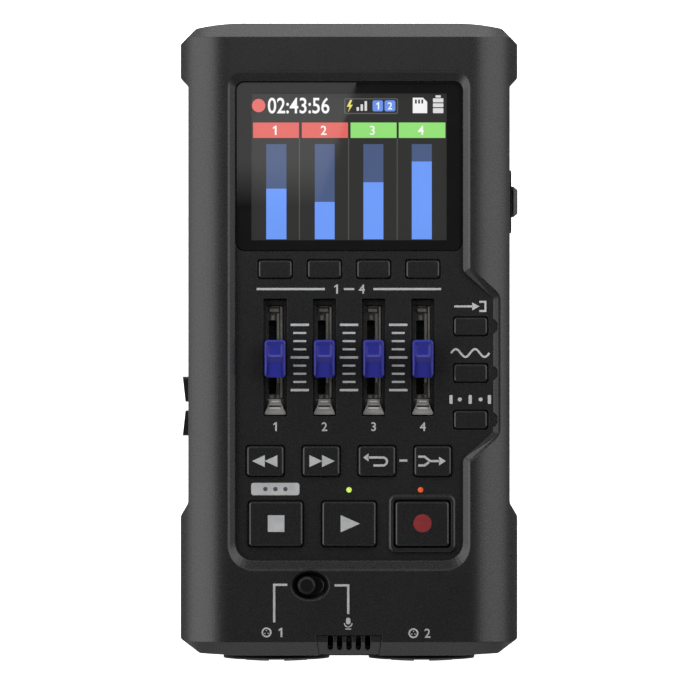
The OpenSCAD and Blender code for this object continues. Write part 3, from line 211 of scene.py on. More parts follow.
def plastic(name, rgb, rough, grain=0.3, bump=0.25, mottle=0.12, wear_and_highlight=0.5, edge=0.2, worn_and_highlight=2.2, specular=0.5,
            bowl=None):
    """Moulded plastic: fine grain, broad colour drift, and edges that are softened and painted paler, partly
    as rubbed wear and partly as painted highlight.

    A bowl, as in_bowl takes it, is painted dark inside as painted shade, and is a little polished inside.
    """
    material, t, p, co = start(name)
    fine = noise(t, co, grain)
    broad = noise(t, co, 14, 4.0)
    drift = sums(t, "MULTIPLY_ADD", broad, fine, ranged(t, broad, 0, 1, 0, 0.5))
    tone = ramp(t, drift, [(0.25, scaled(rgb, 1 - mottle)), (0.8, scaled(rgb, 1 + mottle))])
    gloss = spread(t, fine, rough - 0.05, rough + 0.05)
    soft = softened(t, edge)
    flat = add(t, "ShaderNodeNewGeometry").outputs["Normal"]
    # Paler edges: partly rubbed wear, partly a painted highlight
    rub_and_highlight = ranged(t, vectors(t, "DOT_PRODUCT", soft, flat)["Value"], 0.99, 0.85, 0, wear_and_highlight)
    tone = blended(t, rub_and_highlight, tone, (*scaled(rgb, worn_and_highlight), 1))
    if bowl:
        inside = in_bowl(t, co, *bowl)
        # Painted shade: the dish is painted far darker inside, standing in for shade in the bowl
        tone = blended(t, inside, tone, (*scaled(rgb, 0.1), 1))
        gloss = sums(t, "SUBTRACT", gloss, ranged(t, inside, 0, 1, 0, 0.06))
    feed(t, p.inputs["Base Color"], tone)
    feed(t, p.inputs["Roughness"], gloss)
    p.inputs["Specular IOR Level"].default_value = specular
    roughen(t, p, fine, bump, 0.02, soft)
    return material


def ink(name, rgb, rough=0.5):
    """Printed ink: slightly uneven cover and a faint screen-print grain."""
    material, t, p, co = start(name)
    fine = noise(t, co, 0.25)
    broad = noise(t, co, 3, 3.0)
    feed(t, p.inputs["Base Color"], tinted(t, broad, scaled(rgb, 0.86), scaled(rgb, 1.08)))
    feed(t, p.inputs["Roughness"], spread(t, fine, rough - 0.06, rough + 0.06))
    roughen(t, p, fine, 0.2, 0.01)
    return material


def metal(name, rgb, rough, stretch, size=0.12, shine=1.0, painted_shade=None):
    """Rolled or drawn metal with fine lines along one axis and a little tarnish.

    With painted_shade, a place on Y in millimetres and a colour, the metal above that place is painted that
    colour as shade.
    """
    material, t, p, co = start(name)
    lines = noise(t, co, size, 3.0, stretch)
    stain = noise(t, co, 4, 4.0)
    tone = tinted(t, stain, scaled(rgb, 0.72), scaled(rgb, 1.1))
    if painted_shade:
        place, shade_rgb = painted_shade
        # Painted shade: the metal is painted dark beyond this place
        beyond = ranged(t, axes(t, co)["Y"], (place - 0.1) * MM, place * MM, 0, 1)
        tone = blended(t, beyond, tone, (*shade_rgb, 1))
    feed(t, p.inputs["Base Color"], tone)
    p.inputs["Metallic"].default_value = shine
    feed(t, p.inputs["Roughness"], spread(t, lines, rough - 0.08, rough + 0.1))
    roughen(t, p, lines, 0.3, 0.01, softened(t, 0.12))
    return material


def lit(name, rgb, strength):
    """Lit screen surface with a polished face: a grid of picture points, slightly uneven back light."""
    material, t, p, co = start(name)
    grid = add(t, "ShaderNodeTexBrick", {
        "Vector": co, "Scale": 1 / (0.153 * MM), "Mortar Size": 0.06, "Brick Width": 1.0, "Row Height": 1.0,
        "Color1": (*rgb, 1), "Color2": (*scaled(rgb, 0.97), 1), "Mortar": (*scaled(rgb, 0.7), 1)}, offset=0.0)
    cloud = noise(t, co, 20)
    feed(t, p.inputs["Emission Color"],
         blended(t, spread(t, cloud, 0, 0.08), grid.outputs[0], (*grey(0.02), 1)))
    p.inputs["Emission Strength"].default_value = strength
    p.inputs["Base Color"].default_value = (*grey(0.004), 1)
    feed(t, p.inputs["Roughness"], spread(t, cloud, 0.0, 0.02))
    return material


def lamp(name, rgb, glow, strength):
    """Small moulded light guide with a slightly uneven glow."""
    material, t, p, co = start(name)
    cloud = noise(t, co, 0.5)
    feed(t, p.inputs["Base Color"], tinted(t, cloud, scaled(rgb, 0.8), scaled(rgb, 1.2)))
    feed(t, p.inputs["Emission Color"], tinted(t, cloud, scaled(glow, 0.75), glow))
    p.inputs["Emission Strength"].default_value = strength
    feed(t, p.inputs["Roughness"], spread(t, cloud, 0.2, 0.35))
    return material


def smoked(name, low, high):
    """Polished sheet, printed black round the border and clear between two corners over the lit screen."""
    material, t, p, co = start(name)
    haze = noise(t, co, 6, 3.0)
    feed(t, p.inputs["Base Color"], tinted(t, haze, (0.0046, 0.0046, 0.005), (0.0054, 0.0054, 0.0058)))
    feed(t, p.inputs["Roughness"], spread(t, haze, 0.0, 0.02))
    place = axes(t, co)
    outside = []
    for axis, a, b in zip("XY", low, high):
        away = sums(t, "ABSOLUTE", sums(t, "SUBTRACT", place[axis], (a + b) / 2 * MM))
        half = (b - a) / 2
        outside.append(ranged(t, away, (half - 0.02) * MM, (half + 0.02) * MM, 0, 1))
    feed(t, p.inputs["Alpha"], sums(t, "MAXIMUM", *outside))
    return material


def laminate(name):
    """Circuit board: solder mask over copper tracks."""
    material, t, p, co = start(name)
    cells = add(t, "ShaderNodeTexVoronoi", {"Vector": co, "Scale": 1 / (3.2 * MM)}, distance="MANHATTAN",
                feature="F1").outputs["Distance"]
    line = ranged(t, sums(t, "PINGPONG", cells, 0.22), 0.1, 0.13, 0, 1)
    feed(t, p.inputs["Base Color"], ramp(t, line, [(0, (0.002, 0.006, 0.004)), (1, (0.004, 0.013, 0.008))]))
    feed(t, p.inputs["Roughness"], spread(t, noise(t, co, 1.5), 0.22, 0.36))
    roughen(t, p, line, 0.4, 0.035)
    return material


def sleeve(name, low, high, shoulder=0.289):
    """Shrink sleeve of a cell from low to high along Y: copper shoulder, black body, fine wrinkles."""
    material, t, p, co = start(name)
    copper = (0.42, 0.17, 0.05)
    along = ranged(t, axes(t, co)["Y"], low * MM, high * MM, 0, 1)
    feed(t, p.inputs["Base Color"], ramp(t, along, [
        (0, copper), (shoulder, copper),
        (shoulder + 0.01, (0.012, 0.012, 0.014)), (1, (0.014, 0.014, 0.016))]))
    wrinkle = noise(t, co, 1.2, 3.0, (1, 0.2, 1))
    feed(t, p.inputs["Roughness"], spread(t, wrinkle, 0.2, 0.34))
    roughen(t, p, wrinkle, 0.3, 0.05)
    return material


CHARCOAL, BLACK = (0.0085, 0.0085, 0.009), (0.003, 0.003, 0.0033)
LENGTHWISE = (1, 0.06, 1)
screen_low, screen_high = corners("lcd_panel")
cells_low, cells_high = corners("battery_cells")

CASE = plastic("case_grain", CHARCOAL, 0.29, grain=0.35, bump=0.12, wear_and_highlight=0.2, edge=0.3)
# The front carries painted shade in its switch dish
FRONT = plastic("front_grain_dish_shade", CHARCOAL, 0.29, grain=0.35, bump=0.12, wear_and_highlight=0.2, edge=0.3,
                bowl=((DISH.x, DISH.y + DISH_SHADE, FRONT_Z), DISH_HALF))
PANEL = plastic("panel_satin", (0.007, 0.007, 0.0076), 0.3, grain=0.25, bump=0.1, wear_and_highlight=0.25)
KEY = plastic("key_satin", (0.0065, 0.0065, 0.007), 0.3, grain=0.25, bump=0.14, wear_and_highlight=0.1, edge=0.1)
CAP = plastic("cap_blue", (0.0095, 0.011, 0.15), 0.4, grain=0.2, bump=0.12, wear_and_highlight=0.25, worn_and_highlight=1.7,
              specular=0.35)
SWITCH = plastic("switch_black", BLACK, 0.32, grain=0.2, bump=0.15, wear_and_highlight=0.6, specular=0.3)
# The knob's edges are painted many times paler: mostly a painted highlight on its ring
KNOB = plastic("knob_black", BLACK, 0.32, grain=0.2, bump=0.15, wear_and_highlight=0.9, edge=0.35, worn_and_highlight=14, specular=0.3)
JACK = plastic("jack_black", (0.002, 0.002, 0.0022), 0.6, grain=0.4, bump=0.3, wear_and_highlight=0.2, specular=0.04)
PALE = plastic("pale_moulding", (0.55, 0.52, 0.45), 0.45, grain=0.4, bump=0.15, mottle=0.06, worn_and_highlight=1.1)
RUBBER = plastic("foot_rubber", (0.008, 0.008, 0.0085), 0.8, grain=0.5, bump=0.5, worn_and_highlight=1.5)
STEEL = metal("tinned_steel", (0.18, 0.173, 0.163), 0.45, LENGTHWISE, shine=0.8)
# The frames' steel is paler than the other steel, as painted light on the tabs, and painted dark above
# SHADE_Y as painted shade
FRAME = metal("fader_frame", (0.27, 0.262, 0.25), 0.45, LENGTHWISE, shine=0.8,
              painted_shade=(FADERS[0].y + SHADE_Y, (0.05, 0.048, 0.042)))
RAIL = metal("fader_rail", (0.16, 0.156, 0.145), 0.45, LENGTHWISE, shine=0.8)
# A paler copy of the steel for thin lines in the wells: a painted highlight
PAINTED_HIGHLIGHT_TIN = metal("tin_painted_highlight", (0.45, 0.445, 0.43), 0.4, LENGTHWISE, shine=0.3)
BRASS = metal("contact_brass", (0.55, 0.38, 0.14), 0.3, (1, 0.1, 1))
SCREW = metal("zinc_screw", (0.2, 0.2, 0.21), 0.35, (1, 1, 1), 0.3)
WINDOW = smoked("window_sheet", (screen_low.x + BORDER_SIDE, screen_low.y + BORDER_LOW),
                (screen_high.x - BORDER_SIDE, screen_high.y - BORDER_TOP))
SCREEN = lit("screen_ground", linear(52, 52, 51), 0.91)
BOARD = laminate("board_mask")
SLEEVE = sleeve("cell_sleeve", cells_low.y, cells_high.y)
GREEN = lamp("green_light", (0.3, 0.42, 0.05), (0.55, 0.75, 0.16), 0.5)
RED = lamp("red_light", (0.4, 0.05, 0.01), (0.5, 0.075, 0.02), 0.55)
INK = ink("legend_ink", linear(143, 144, 145))
INK_DIM = ink("scale_ink", linear(148, 149, 150))
INK_RED = ink("record_ink", (0.14, 0.005, 0.007))
INK_DARK = ink("dark_ink", linear(52, 56, 62))

# Each node is dressed by the record's material slot, and a few by their own name
DRESS = {
    "case_plastic": CASE, "panel_plastic": PANEL, "key_plastic": KEY, "cap_plastic": CAP,
    "switch_plastic": SWITCH, "window_plastic": WINDOW, "screen": SCREEN, "pale_plastic": PALE,
    "steel": STEEL, "screw_steel": SCREW, "green_light": GREEN, "red_light": RED, "jack_plastic": JACK,
    "board_laminate": BOARD, "cell_wrap": SLEEVE, "foot_rubber": RUBBER}
OWN = {"front_case": FRONT, "power_switch_knob": KEY, "source_switch_knob": KNOB, "fader_frames": FRAME}
for part in record["subparts"]:
    obj = nodes[part["node"]]
    material = OWN.get(part["node"], DRESS[part["material_slot"]])
    if not obj.material_slots:
        obj.data.materials.append(material)
    for holder in obj.material_slots:
        holder.material = material


# Outlines in millimetres, anticlockwise

def arc(x, y, r, a0, a1, n=10):
    angles = [math.radians(a0 + (a1 - a0) * i / n) for i in range(n + 1)]
    return [(x + r * math.cos(a), y + r * math.sin(a)) for a in angles]


def disc(x, y, r, n=28):
    return arc(x, y, r, 0, 360 - 360 / n, n - 1)


def box(x0, y0, x1, y1, r=0.0):
    if r == 0:
        return [(x0, y0), (x1, y0), (x1, y1), (x0, y1)]
    return (arc(x1 - r, y0 + r, r, -90, 0, 5) + arc(x1 - r, y1 - r, r, 0, 90, 5)
            + arc(x0 + r, y1 - r, r, 90, 180, 5) + arc(x0 + r, y0 + r, r, 180, 270, 5))


def bar(x, y, w, h, r=0.0):
    """A box of that width and height round its middle."""
    return box(x - w / 2, y - h / 2, x + w / 2, y + h / 2, r)


def stroke(points, width):
    """A line of that width through the points, with mitred bends."""
    left, right = [], []
    for i, p in enumerate(points):
        a = Vector(points[max(i - 1, 0)])
        b = Vector(points[min(i + 1, len(points) - 1)])
        here = Vector(p)
        into = (here - a).normalized() if i else (b - here).normalized()
        out = (b - here).normalized() if i < len(points) - 1 else into
        n = Vector((-into.y - out.y, into.x + out.x)).normalized()
        d = width / 2 / max(0.5, n.dot(Vector((-into.y, into.x))))
        left.append(tuple(here + n * d))
        right.append(tuple(here - n * d))
    return right + left[::-1]


# Planes of the part: each has its zero at a place, and its own axes across, up and outwards

X, Y, Z = (Vector(axis) for axis in ((1, 0, 0), (0, 1, 0), (0, 0, 1)))


def plane(place, across=X, up=Y, out=Z):
    return Matrix.Translation(place) @ Matrix((across, up, out)).transposed().to_4x4()


def on_panel(x=0, y=0):
    return plane((x, y, PANEL_Z))


def on_top(node):
    place = middle(node)
    return plane((place.x, place.y, top(node)))


def on_right(y, z):
    return plane((SIDE_X, y, z), Y, Z, X)


def on_left(y, z):
    return plane((-SIDE_X, y, z), -Y, Z, -X)


# Pieces

def put(bm, outline, low, high, edge=0.0):
    """A closed prism on an outline, or between two outlines; edge rounds off its upper rim."""
    hole = None
    if isinstance(outline, tuple):
        outline, hole = outline
    rings = [(outline, low), (outline, high)]
    if edge:
        centre = [sum(p[k] for p in outline) / len(outline) for k in (0, 1)]
        size = [max(abs(p[k] - centre[k]) for p in outline) for k in (0, 1)]
        small = [tuple(c + (v - c) * (1 - edge / s) for v, c, s in zip(p, centre, size)) for p in outline]
        rings = [(outline, low), (outline, high - edge), (small, high)]
    loops = [[bm.verts.new((x, y, z)) for x, y in ring] for ring, z in rings]
    n = len(outline)
    for a, b in zip(loops, loops[1:]):
        for i in range(n):
            bm.faces.new((a[i], a[(i + 1) % n], b[(i + 1) % n], b[i]))
    if hole is None:
        bm.faces.new(loops[0][::-1])
        bm.faces.new(loops[-1])
        return
    inner = [[bm.verts.new((x, y, z)) for x, y in hole] for z in (low, high)]
    for i in range(n):
        j = (i + 1) % n
        bm.faces.new((inner[0][j], inner[0][i], inner[1][i], inner[1][j]))
        bm.faces.new((loops[1][i], loops[1][j], inner[1][j], inner[1][i]))
        bm.faces.new((loops[0][j], loops[0][i], inner[0][i], inner[0][j]))


# The figure one with its flag, for a height of 1
ONE = ((0.0, -0.5), (0.19, -0.5), (0.19, 0.5), (0.05, 0.5), (-0.21, 0.31), (-0.21, 0.13), (0.0, 0.27))


def numeral(bm, text, x, y, height, low, high, width=None):
    """Figures from the built-in typeface, as closed prisms of that height; the one is drawn with a flag."""
    if text == "1":
        put(bm, [(x + height * a, y + height * b) for a, b in ONE], low, high)
        return
    curve = bpy.data.curves.new("figure", "FONT")
    curve.body = text
    curve.extrude = 0.5
    curve.offset = 0.012
    curve.resolution_u = 4
    obj = bpy.data.objects.new("figure", curve)
    scene.collection.objects.link(obj)
    seen = obj.evaluated_get(bpy.context.evaluated_depsgraph_get())
    mesh = bpy.data.meshes.new_from_object(seen)
    xs = [v.co.x for v in mesh.vertices]
    ys = [v.co.y for v in mesh.vertices]
    ky = height / (max(ys) - min(ys))
    kx = width / (max(xs) - min(xs)) if width else ky
    mx = (max(xs) + min(xs)) / 2
    my = (max(ys) + min(ys)) / 2
    for v in mesh.vertices:
        v.co = (x + (v.co.x - mx) * kx, y + (v.co.y - my) * ky, low if v.co.z < 0 else high)
    bm.from_mesh(mesh)
    bpy.data.objects.remove(obj)
    bpy.data.curves.remove(curve)
    bpy.data.meshes.remove(mesh)


def piece(name, fill, material, where, body="case"):
    """A new piece: fill puts its prisms into a bmesh, in millimetres on a plane."""
    bm = bmesh.new()
    fill(bm)
    bmesh.ops.remove_doubles(bm, verts=bm.verts, dist=1e-5)
    bmesh.ops.transform(bm, matrix=Matrix.Scale(MM, 4) @ where, verts=bm.verts)
    bmesh.ops.recalc_face_normals(bm, faces=bm.faces)
    mesh = bpy.data.meshes.new(name)
    bm.to_mesh(mesh)
    bm.free()
    mesh.materials.append(material)
    obj = bpy.data.objects.new(name, mesh)
    scene.collection.objects.link(obj)
    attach(obj, body)
    return obj


# Ink reaches this far below and above the surface that carries it
INK_LOW, INK_HIGH = -0.02, 0.03


def printed(name, outlines, where, material, body="case", figures=()):
    """Print on a plane: outlines, and figures given by text, place and height."""
    def fill(bm):
        for outline in outlines:
            put(bm, outline, INK_LOW, INK_HIGH)
        for text, x, y, height in figures:
            numeral(bm, text, x, y, height, INK_LOW, INK_HIGH)
    return piece(name, fill, material, where, body)


# Print on the control panel

# Scales between the faders
MARKS, MARK_PITCH, MARK_R = 9, 2.04, 0.12
LONG_MARK, SHORT_MARK = (4.6, 0.6), (3.24, 0.5)
marks = []
for a, b in zip(FADERS, FADERS[1:]):
    for i in range(MARKS):
        size = LONG_MARK if i % (MARKS // 2) == 0 else SHORT_MARK
        marks.append(bar((a.x + b.x) / 2, a.y + MARK_PITCH * (MARKS // 2 - i), *size, MARK_R))
printed("scale_marks", marks, on_panel(), INK_DIM)

# Line with the numbers 1 to 4 above the faders, a number below each, and a dash between two keys
LINE_Y, LINE_W = 13.45, 0.56
LINE_ENDS = ((-23.1, -6.05), (6.1, 23.0))
DASH = (2.6, 0.5)
RANGE_X, RANGE_H = 3.2, 2.3
NUMBER_Y, NUMBER_H = -20.95, 2.2
JOIN = (13.6, -29.425, 2.0, 0.55)
printed("panel_print",
        [bar((a + b) / 2, LINE_Y, b - a, LINE_W) for a, b in LINE_ENDS] + [bar(0, LINE_Y, *DASH), bar(*JOIN)],
        on_panel(), INK,
        figures=[(str(i + 1), place.x, NUMBER_Y, NUMBER_H) for i, place in enumerate(FADERS)]
        + [("1", -RANGE_X, LINE_Y, RANGE_H), ("4", RANGE_X, LINE_Y, RANGE_H)])

# Signs above the three keys at the side, a little to the left of the keys' middle
SIGN_X = -0.1
THIN = 0.5


def above(key, up):
    place = middle(key)
    return on_panel(place.x + SIGN_X, place.y + up)


def wave(length, height, turns, steps):
    """Points along a sine wave round its middle."""
    shares = [i / steps - 0.5 for i in range(steps + 1)]
    return [(length * s, height * math.sin(2 * math.pi * turns * s)) for s in shares]


printed("source_sign", [
    stroke([(-4, 0), (0.6, 0)], THIN), [(0.5, -1.0), (2.3, 0), (0.5, 1.0)],
    stroke([(2.3, -1.15), (3.8, -1.15), (3.8, 1.15), (2.3, 1.15)], THIN)], above("input_key", 4.99), INK_DIM)
printed("sound_sign", [stroke(wave(9.6, 1.0, 2, 24), THIN)], above("effect_key", 5.0), INK_DIM)
beats = [bar(x, 0, 0.8, 2.2, 0.2) for x in (-4.8, 0, 4.8)]
beats += [disc(x, 0, 0.5) for x in (-2.6, 2.6)]
printed("beat_sign", beats, above("rhythm_key", 5.07), INK_DIM)

# Plate with three dots above the stop key
MENU_X, MENU_Y, MENU_SIZE, MENU_R = -18.425, -36.55, (12.05, 3.1), 0.6
DOT_X, DOT_PITCH, DOT_R = -18.4, 2.5, 0.55
printed("menu_plate", [bar(0, 0, *MENU_SIZE, MENU_R)], on_panel(MENU_X, MENU_Y), INK)
printed("menu_dots", [disc(i * DOT_PITCH, 0, DOT_R) for i in (-1, 0, 1)],
        plane((DOT_X, MENU_Y, PANEL_Z + INK_HIGH)), INK_DARK)

# Signs on the keys, each riding on its key; most stand a little beside the middle, as in the photo

BOLD = 0.55
ARROW = ((-1.55, -1.5), (1.65, 0), (-1.55, 1.5))
ARROW_X = (-1.55, 1.6)


def key_sign(name, outlines, key, x=0.0, y=0.0, material=INK):
    return printed(name, outlines, on_top(key) @ Matrix.Translation((x, y, 0)), material, key)


forward = [[(d + x, y) for x, y in ARROW] for d in ARROW_X]
key_sign("rewind_sign", [[(-x, y) for x, y in outline[::-1]] for outline in forward], "rewind_key", -0.072)
key_sign("forward_sign", forward, "forward_key", 0.176)
turn = [(-2.2, 0.9), (1.6, 0.9)] + arc(1.6, -0.1, 1.0, 80, -80, 8) + [(1.5, -1.1), (-0.8, -1.1)]
key_sign("undo_sign", [stroke(turn, BOLD), [(-3.4, 0.9), (-2.0, -0.1), (-2.0, 1.9)]], "undo_key", -0.076)
key_sign("bounce_sign", [
    stroke([(-3.4, 1.1), (-1.8, 1.1), (-0.4, 0), (1.9, 0)], BOLD),
    stroke([(-3.4, -1.1), (-1.8, -1.1), (-0.75, -0.28)], BOLD),
    [(1.8, -1.1), (3.5, 0), (1.8, 1.1)]], "bounce_key", -0.228)
key_sign("stop_sign", [bar(0, 0, 4.15, 4.15)], "stop_key", 0.074, 0.075)
key_sign("play_sign", [[(-2.1, -2.15), (2.75, 0), (-2.1, 2.15)]], "play_key", 0, 0.05)
key_sign("record_sign", [disc(0, 0, 2.27, 40)], "record_key", 0.051, 0.15, INK_RED)

# Print on the lower front: lines from the dish to the signs of the sources, and numbered sockets

LINE_LEFT, LINE_RIGHT = -9.0, 9.5
SOCKET_SIGNS = {"1": (-18.7, -72.35), "2": (18.0, -72.55)}
SOCKET_H = 2.3
RING_X, RING_R, RING_HOLE, PIN_RING, PIN_R = -1.9, 1.25, 0.85, 0.45, 0.16
FIGURE_X = 1.6
THREE_PINS = (90, 210, 330)


def on_front(x, y):
    return plane((x, y, FRONT_Z))


printed("switch_lines", [stroke([(-5.75, 0.2), (LINE_LEFT, 0.2), (LINE_LEFT, -9.2)], 0.57),
                         stroke([(6.1, 0.05), (LINE_RIGHT, 0.05), (LINE_RIGHT, -7.1)], 0.57)],
        on_front(DISH.x, DISH.y), INK)

ring = [(disc(RING_X, 0, RING_R), disc(RING_X, 0, RING_HOLE))]
pins = [disc(*arc(RING_X, 0, PIN_RING, a, a, 1)[0], PIN_R, 12) for a in THREE_PINS]
for figure, place in SOCKET_SIGNS.items():
    printed("socket_sign_" + figure, ring + pins, on_front(*place), INK,
            figures=[(figure, FIGURE_X, 0, SOCKET_H)])

printed("microphone_sign", [
    box(-0.55, -0.2, 0.55, 1.5, 0.54), stroke(arc(0, 0.1, 0.95, 180, 360, 12), 0.28),
    box(-0.14, -1.35, 0.14, -0.75), box(-0.7, -1.5, 0.7, -1.22)],
        on_front(DISH.x + LINE_RIGHT, DISH.y - 9.5), INK)

# Lit picture on the screen, round the middle of the screen

LAYER = 0.02
PICTURE_GLOW = 1.09
WHITE, PALE_GREY = (250, 250, 250), (225, 225, 225)
screen_face = on_top("lcd_panel")


def on_screen(name, outlines, rgb, level=0, figures=()):
    """A part of the picture, over those of a lower level. Figures have text, place, height and width."""
    high = LAYER * (level + 1)

    def fill(bm):
        for outline in outlines:
            put(bm, outline, -LAYER, high)
        for text, x, y, height, width in figures:
            numeral(bm, text, x, y, height, -LAYER, high, width)
    return piece(name, fill, lit(name + "_light", linear(*rgb), PICTURE_GLOW), screen_face, "case")


# Row of small signs along the upper edge
ROW_Y = 15.2
on_screen("time_figures", [], WHITE, figures=[("02:43:56", -12.6, ROW_Y, 4.0, 15.4)])
on_screen("record_mark", [disc(-22.6, ROW_Y, 1.67)], (232, 112, 106))
on_screen("frame_line", [(box(-1.2, 13.1, 12.25, 17.0, 0.5), box(-0.95, 13.35, 12.0, 16.75, 0.35))],
          (96, 96, 96))
on_screen("bolt_mark", [[(0.8, 16.6), (0.3, 15.4), (0.95, 15.4), (-0.25, 13.5), (0.15, 14.9), (-0.55, 14.9),
                         (0.3, 16.6)]], (240, 228, 110))
on_screen("meter_mark", [box(1.9 + i, 13.9, 2.5 + i, h) for i, h in enumerate((14.8, 15.5, 16.3))], PALE_GREY)
on_screen("input_squares", [box(5.9, 13.75, 8.5, 16.5, 0.45), box(8.9, 13.75, 11.6, 16.5, 0.45)],
          (110, 150, 236))
on_screen("input_figures", [], (245, 248, 255), 1,
          [("1", 7.2, 15.12, 1.8, None), ("2", 10.25, 15.12, 1.8, None)])
on_screen("card_mark", [[(15.95, 13.3), (19.55, 13.3), (19.55, 16.1), (18.5, 17.15), (15.95, 17.15)]],
          (246, 246, 246))
on_screen("card_bars", [box(16.5 + 0.8 * i, 15.7, 16.95 + 0.8 * i, 16.7) for i in range(3)], (60, 60, 60), 1)
on_screen("battery_mark", [box(21.0, 13.3, 23.6, 14.55, 0.15), box(21.0, 14.8, 23.6, 15.75, 0.15),
                           box(21.0, 16.0, 23.6, 17.0, 0.15), box(21.65, 17.2, 22.95, 17.75)], PALE_GREY)

# A column for each track, as the photo has them: a coloured head with its number, and a level bar
HEADS = ((-24.0, -12.5), (-11.8, -0.25), (0.4, 11.9), (12.45, 24.1))
HEAD_LOW, HEAD_TOP = 7.1, 10.95
FIGURE_LEFT, FIGURE_Y, FIGURE_H = 0.3, 9.0, 2.3
DIVIDERS, DIVIDER_W, DIVIDER_LOW, DIVIDER_TOP = (-12.4, -0.1, 12.05), 0.24, -18.4, 7.0
BARS = ((-20.7, -15.65), (-8.55, -3.6), (3.6, 8.6), (15.7, 20.7))
BAR_LOW, BAR_TOP = -18.25, 5.55
LEVELS = (-5.6, -8.9, -4.0, 1.2)
heads = [box(a, HEAD_LOW, b, HEAD_TOP) for a, b in HEADS]
on_screen("red_heads", heads[:2], (230, 106, 100))
on_screen("green_heads", heads[2:], (150, 228, 122))
on_screen("head_figures", [], (250, 250, 246), 1, [
    (str(i + 1), (a + b) / 2 - FIGURE_LEFT, FIGURE_Y, FIGURE_H, None) for i, (a, b) in enumerate(HEADS)])
divider_y, divider_h = (DIVIDER_LOW + DIVIDER_TOP) / 2, DIVIDER_TOP - DIVIDER_LOW
on_screen("screen_lines", [bar(x, divider_y, DIVIDER_W, divider_h) for x in DIVIDERS], (84, 84, 84))
on_screen("bar_grounds", [box(a, BAR_LOW, b, BAR_TOP) for a, b in BARS], (76, 93, 132))
on_screen("level_bars", [box(a, BAR_LOW, b, level) for (a, b), level in zip(BARS, LEVELS)],
          (112, 158, 252), 1)

# Steel in the fader wells, round the middle of each lever; heights are from the frame's upper plate

SUNK = -0.1
CORNER = 0.1


def fader_steel(bm):
    """Rail and strip beside the lever, bracket at the upper end, and plates beyond the lever's travel."""
    put(bm, box(1.25, -10.2, 1.95, 12.8, CORNER), SUNK, 0.8, 0.15)
    put(bm, box(0.38, -6.4, 1.15, 11.1, CORNER), SUNK, 0.3, 0.15)
    put(bm, box(-1.5, 11.3, 1.0, 12.3, CORNER), SUNK, 0.6, 0.15)
    put(bm, box(-1.3, 12.55, 0.95, 12.85, CORNER), SUNK, 0.4, 0.1)
    put(bm, box(-1.1, 9.25, -0.15, 10.6, CORNER), SUNK, 0.3, 0.1)
    put(bm, box(-1.5, -10.3, -0.35, -9.4, CORNER), SUNK, 0.2, 0.1)
    put(bm, box(0.3, -10.3, 1.15, -9.4, CORNER), SUNK, 0.2, 0.1)


def tab_highlight(bm):
    """Bends of the tab and of the block above it, in a paler tin as painted highlight."""
    put(bm, box(-1.35, -12.92, 1.3, -12.5, CORNER), 1.7, 2.22, 0.12)
    put(bm, box(-1.0, -11.25, 1.0, -10.9, CORNER), 1.3, 1.65, 0.1)


def well_trim(bm):
    """Ledge round the well, and a dark strip laid over the tab between the block and its bend, as painted
    shade.
    """
    put(bm, (box(-2.95, -14.5, 2.95, 14.45, 0.3), box(-2.15, -14.2, 2.15, 13.0, CORNER)), 0.5, 0.8)
    # Painted shade: a dark strip laid over the tab
    put(bm, box(-1.5, -12.35, 1.5, -12.0, CORNER), 1.6, 1.96)


for i, lever in enumerate(FADERS):
    well = plane((lever.x, lever.y, FADER_PLATE_Z))
    number = "_%d" % (i + 1)
    piece("fader_steel" + number, fader_steel, RAIL, well, "case")
    piece("tab_highlight" + number, tab_highlight, PAINTED_HIGHLIGHT_TIN, well, "case")
    piece("well_trim" + number, well_trim, PANEL, well, "case")

# Contacts in the input jacks: three tubes and a throat, given by radii and by depths behind the face

PIN_CIRCLE, PIN_TUBE, PIN_DEPTH = 5.3, (1.22, 0.95), (-9.95, -1.35)
THROAT, THROAT_DEPTH = (3.17, 2.85), (-13.95, -5.95)


def contacts(bm):
    for a in THREE_PINS:
        x, z = arc(0, 0, PIN_CIRCLE, -a, -a, 1)[0]
        put(bm, tuple(disc(x, z, r, 20) for r in PIN_TUBE), *PIN_DEPTH)
    put(bm, tuple(disc(0, 0, r, 32) for r in THROAT), *THROAT_DEPTH)


for side in "ab":
    core = "input_jack_%s_core" % side
    place = middle(core)
    face = plane((place.x, corners(core)[0].y, place.z), X, Z, -Y)
    piece("jack_contacts_" + side, contacts, BRASS, face, "case")

# Raised grip and arrow on the battery cover

place = middle("battery_cover")
cover_face = plane((place.x, place.y, corners("battery_cover")[0].z), -X, Y, -Z)
COVER_SUNK = -0.05
GRIP_Y, GRIP_SIZE, GRIP_R, GRIP_H = (-7.9, -6.1, -4.3), (14, 0.8), 0.35, 0.28
COVER_ARROW, ARROW_H = [(-2.4, -1.0), (2.4, -1.0), (0, 2.4)], 0.25


def cover_grip(bm):
    for y in GRIP_Y:
        put(bm, bar(0, y, *GRIP_SIZE, GRIP_R), COVER_SUNK, GRIP_H, 0.12)


def cover_arrow(bm):
    put(bm, COVER_ARROW, COVER_SUNK, ARROW_H, 0.15)


piece("cover_grip", cover_grip, CASE, cover_face, "battery_cover")
piece("cover_arrow", cover_arrow, CASE, cover_face, "battery_cover")

# Small signs above the side controls

POWER_SIGN_Z, DATA_SIGN_Z, SOCKET_SIGN_Z, VOLUME_SIGN_Z = 31.2, 27.2, 29.4, 30.6
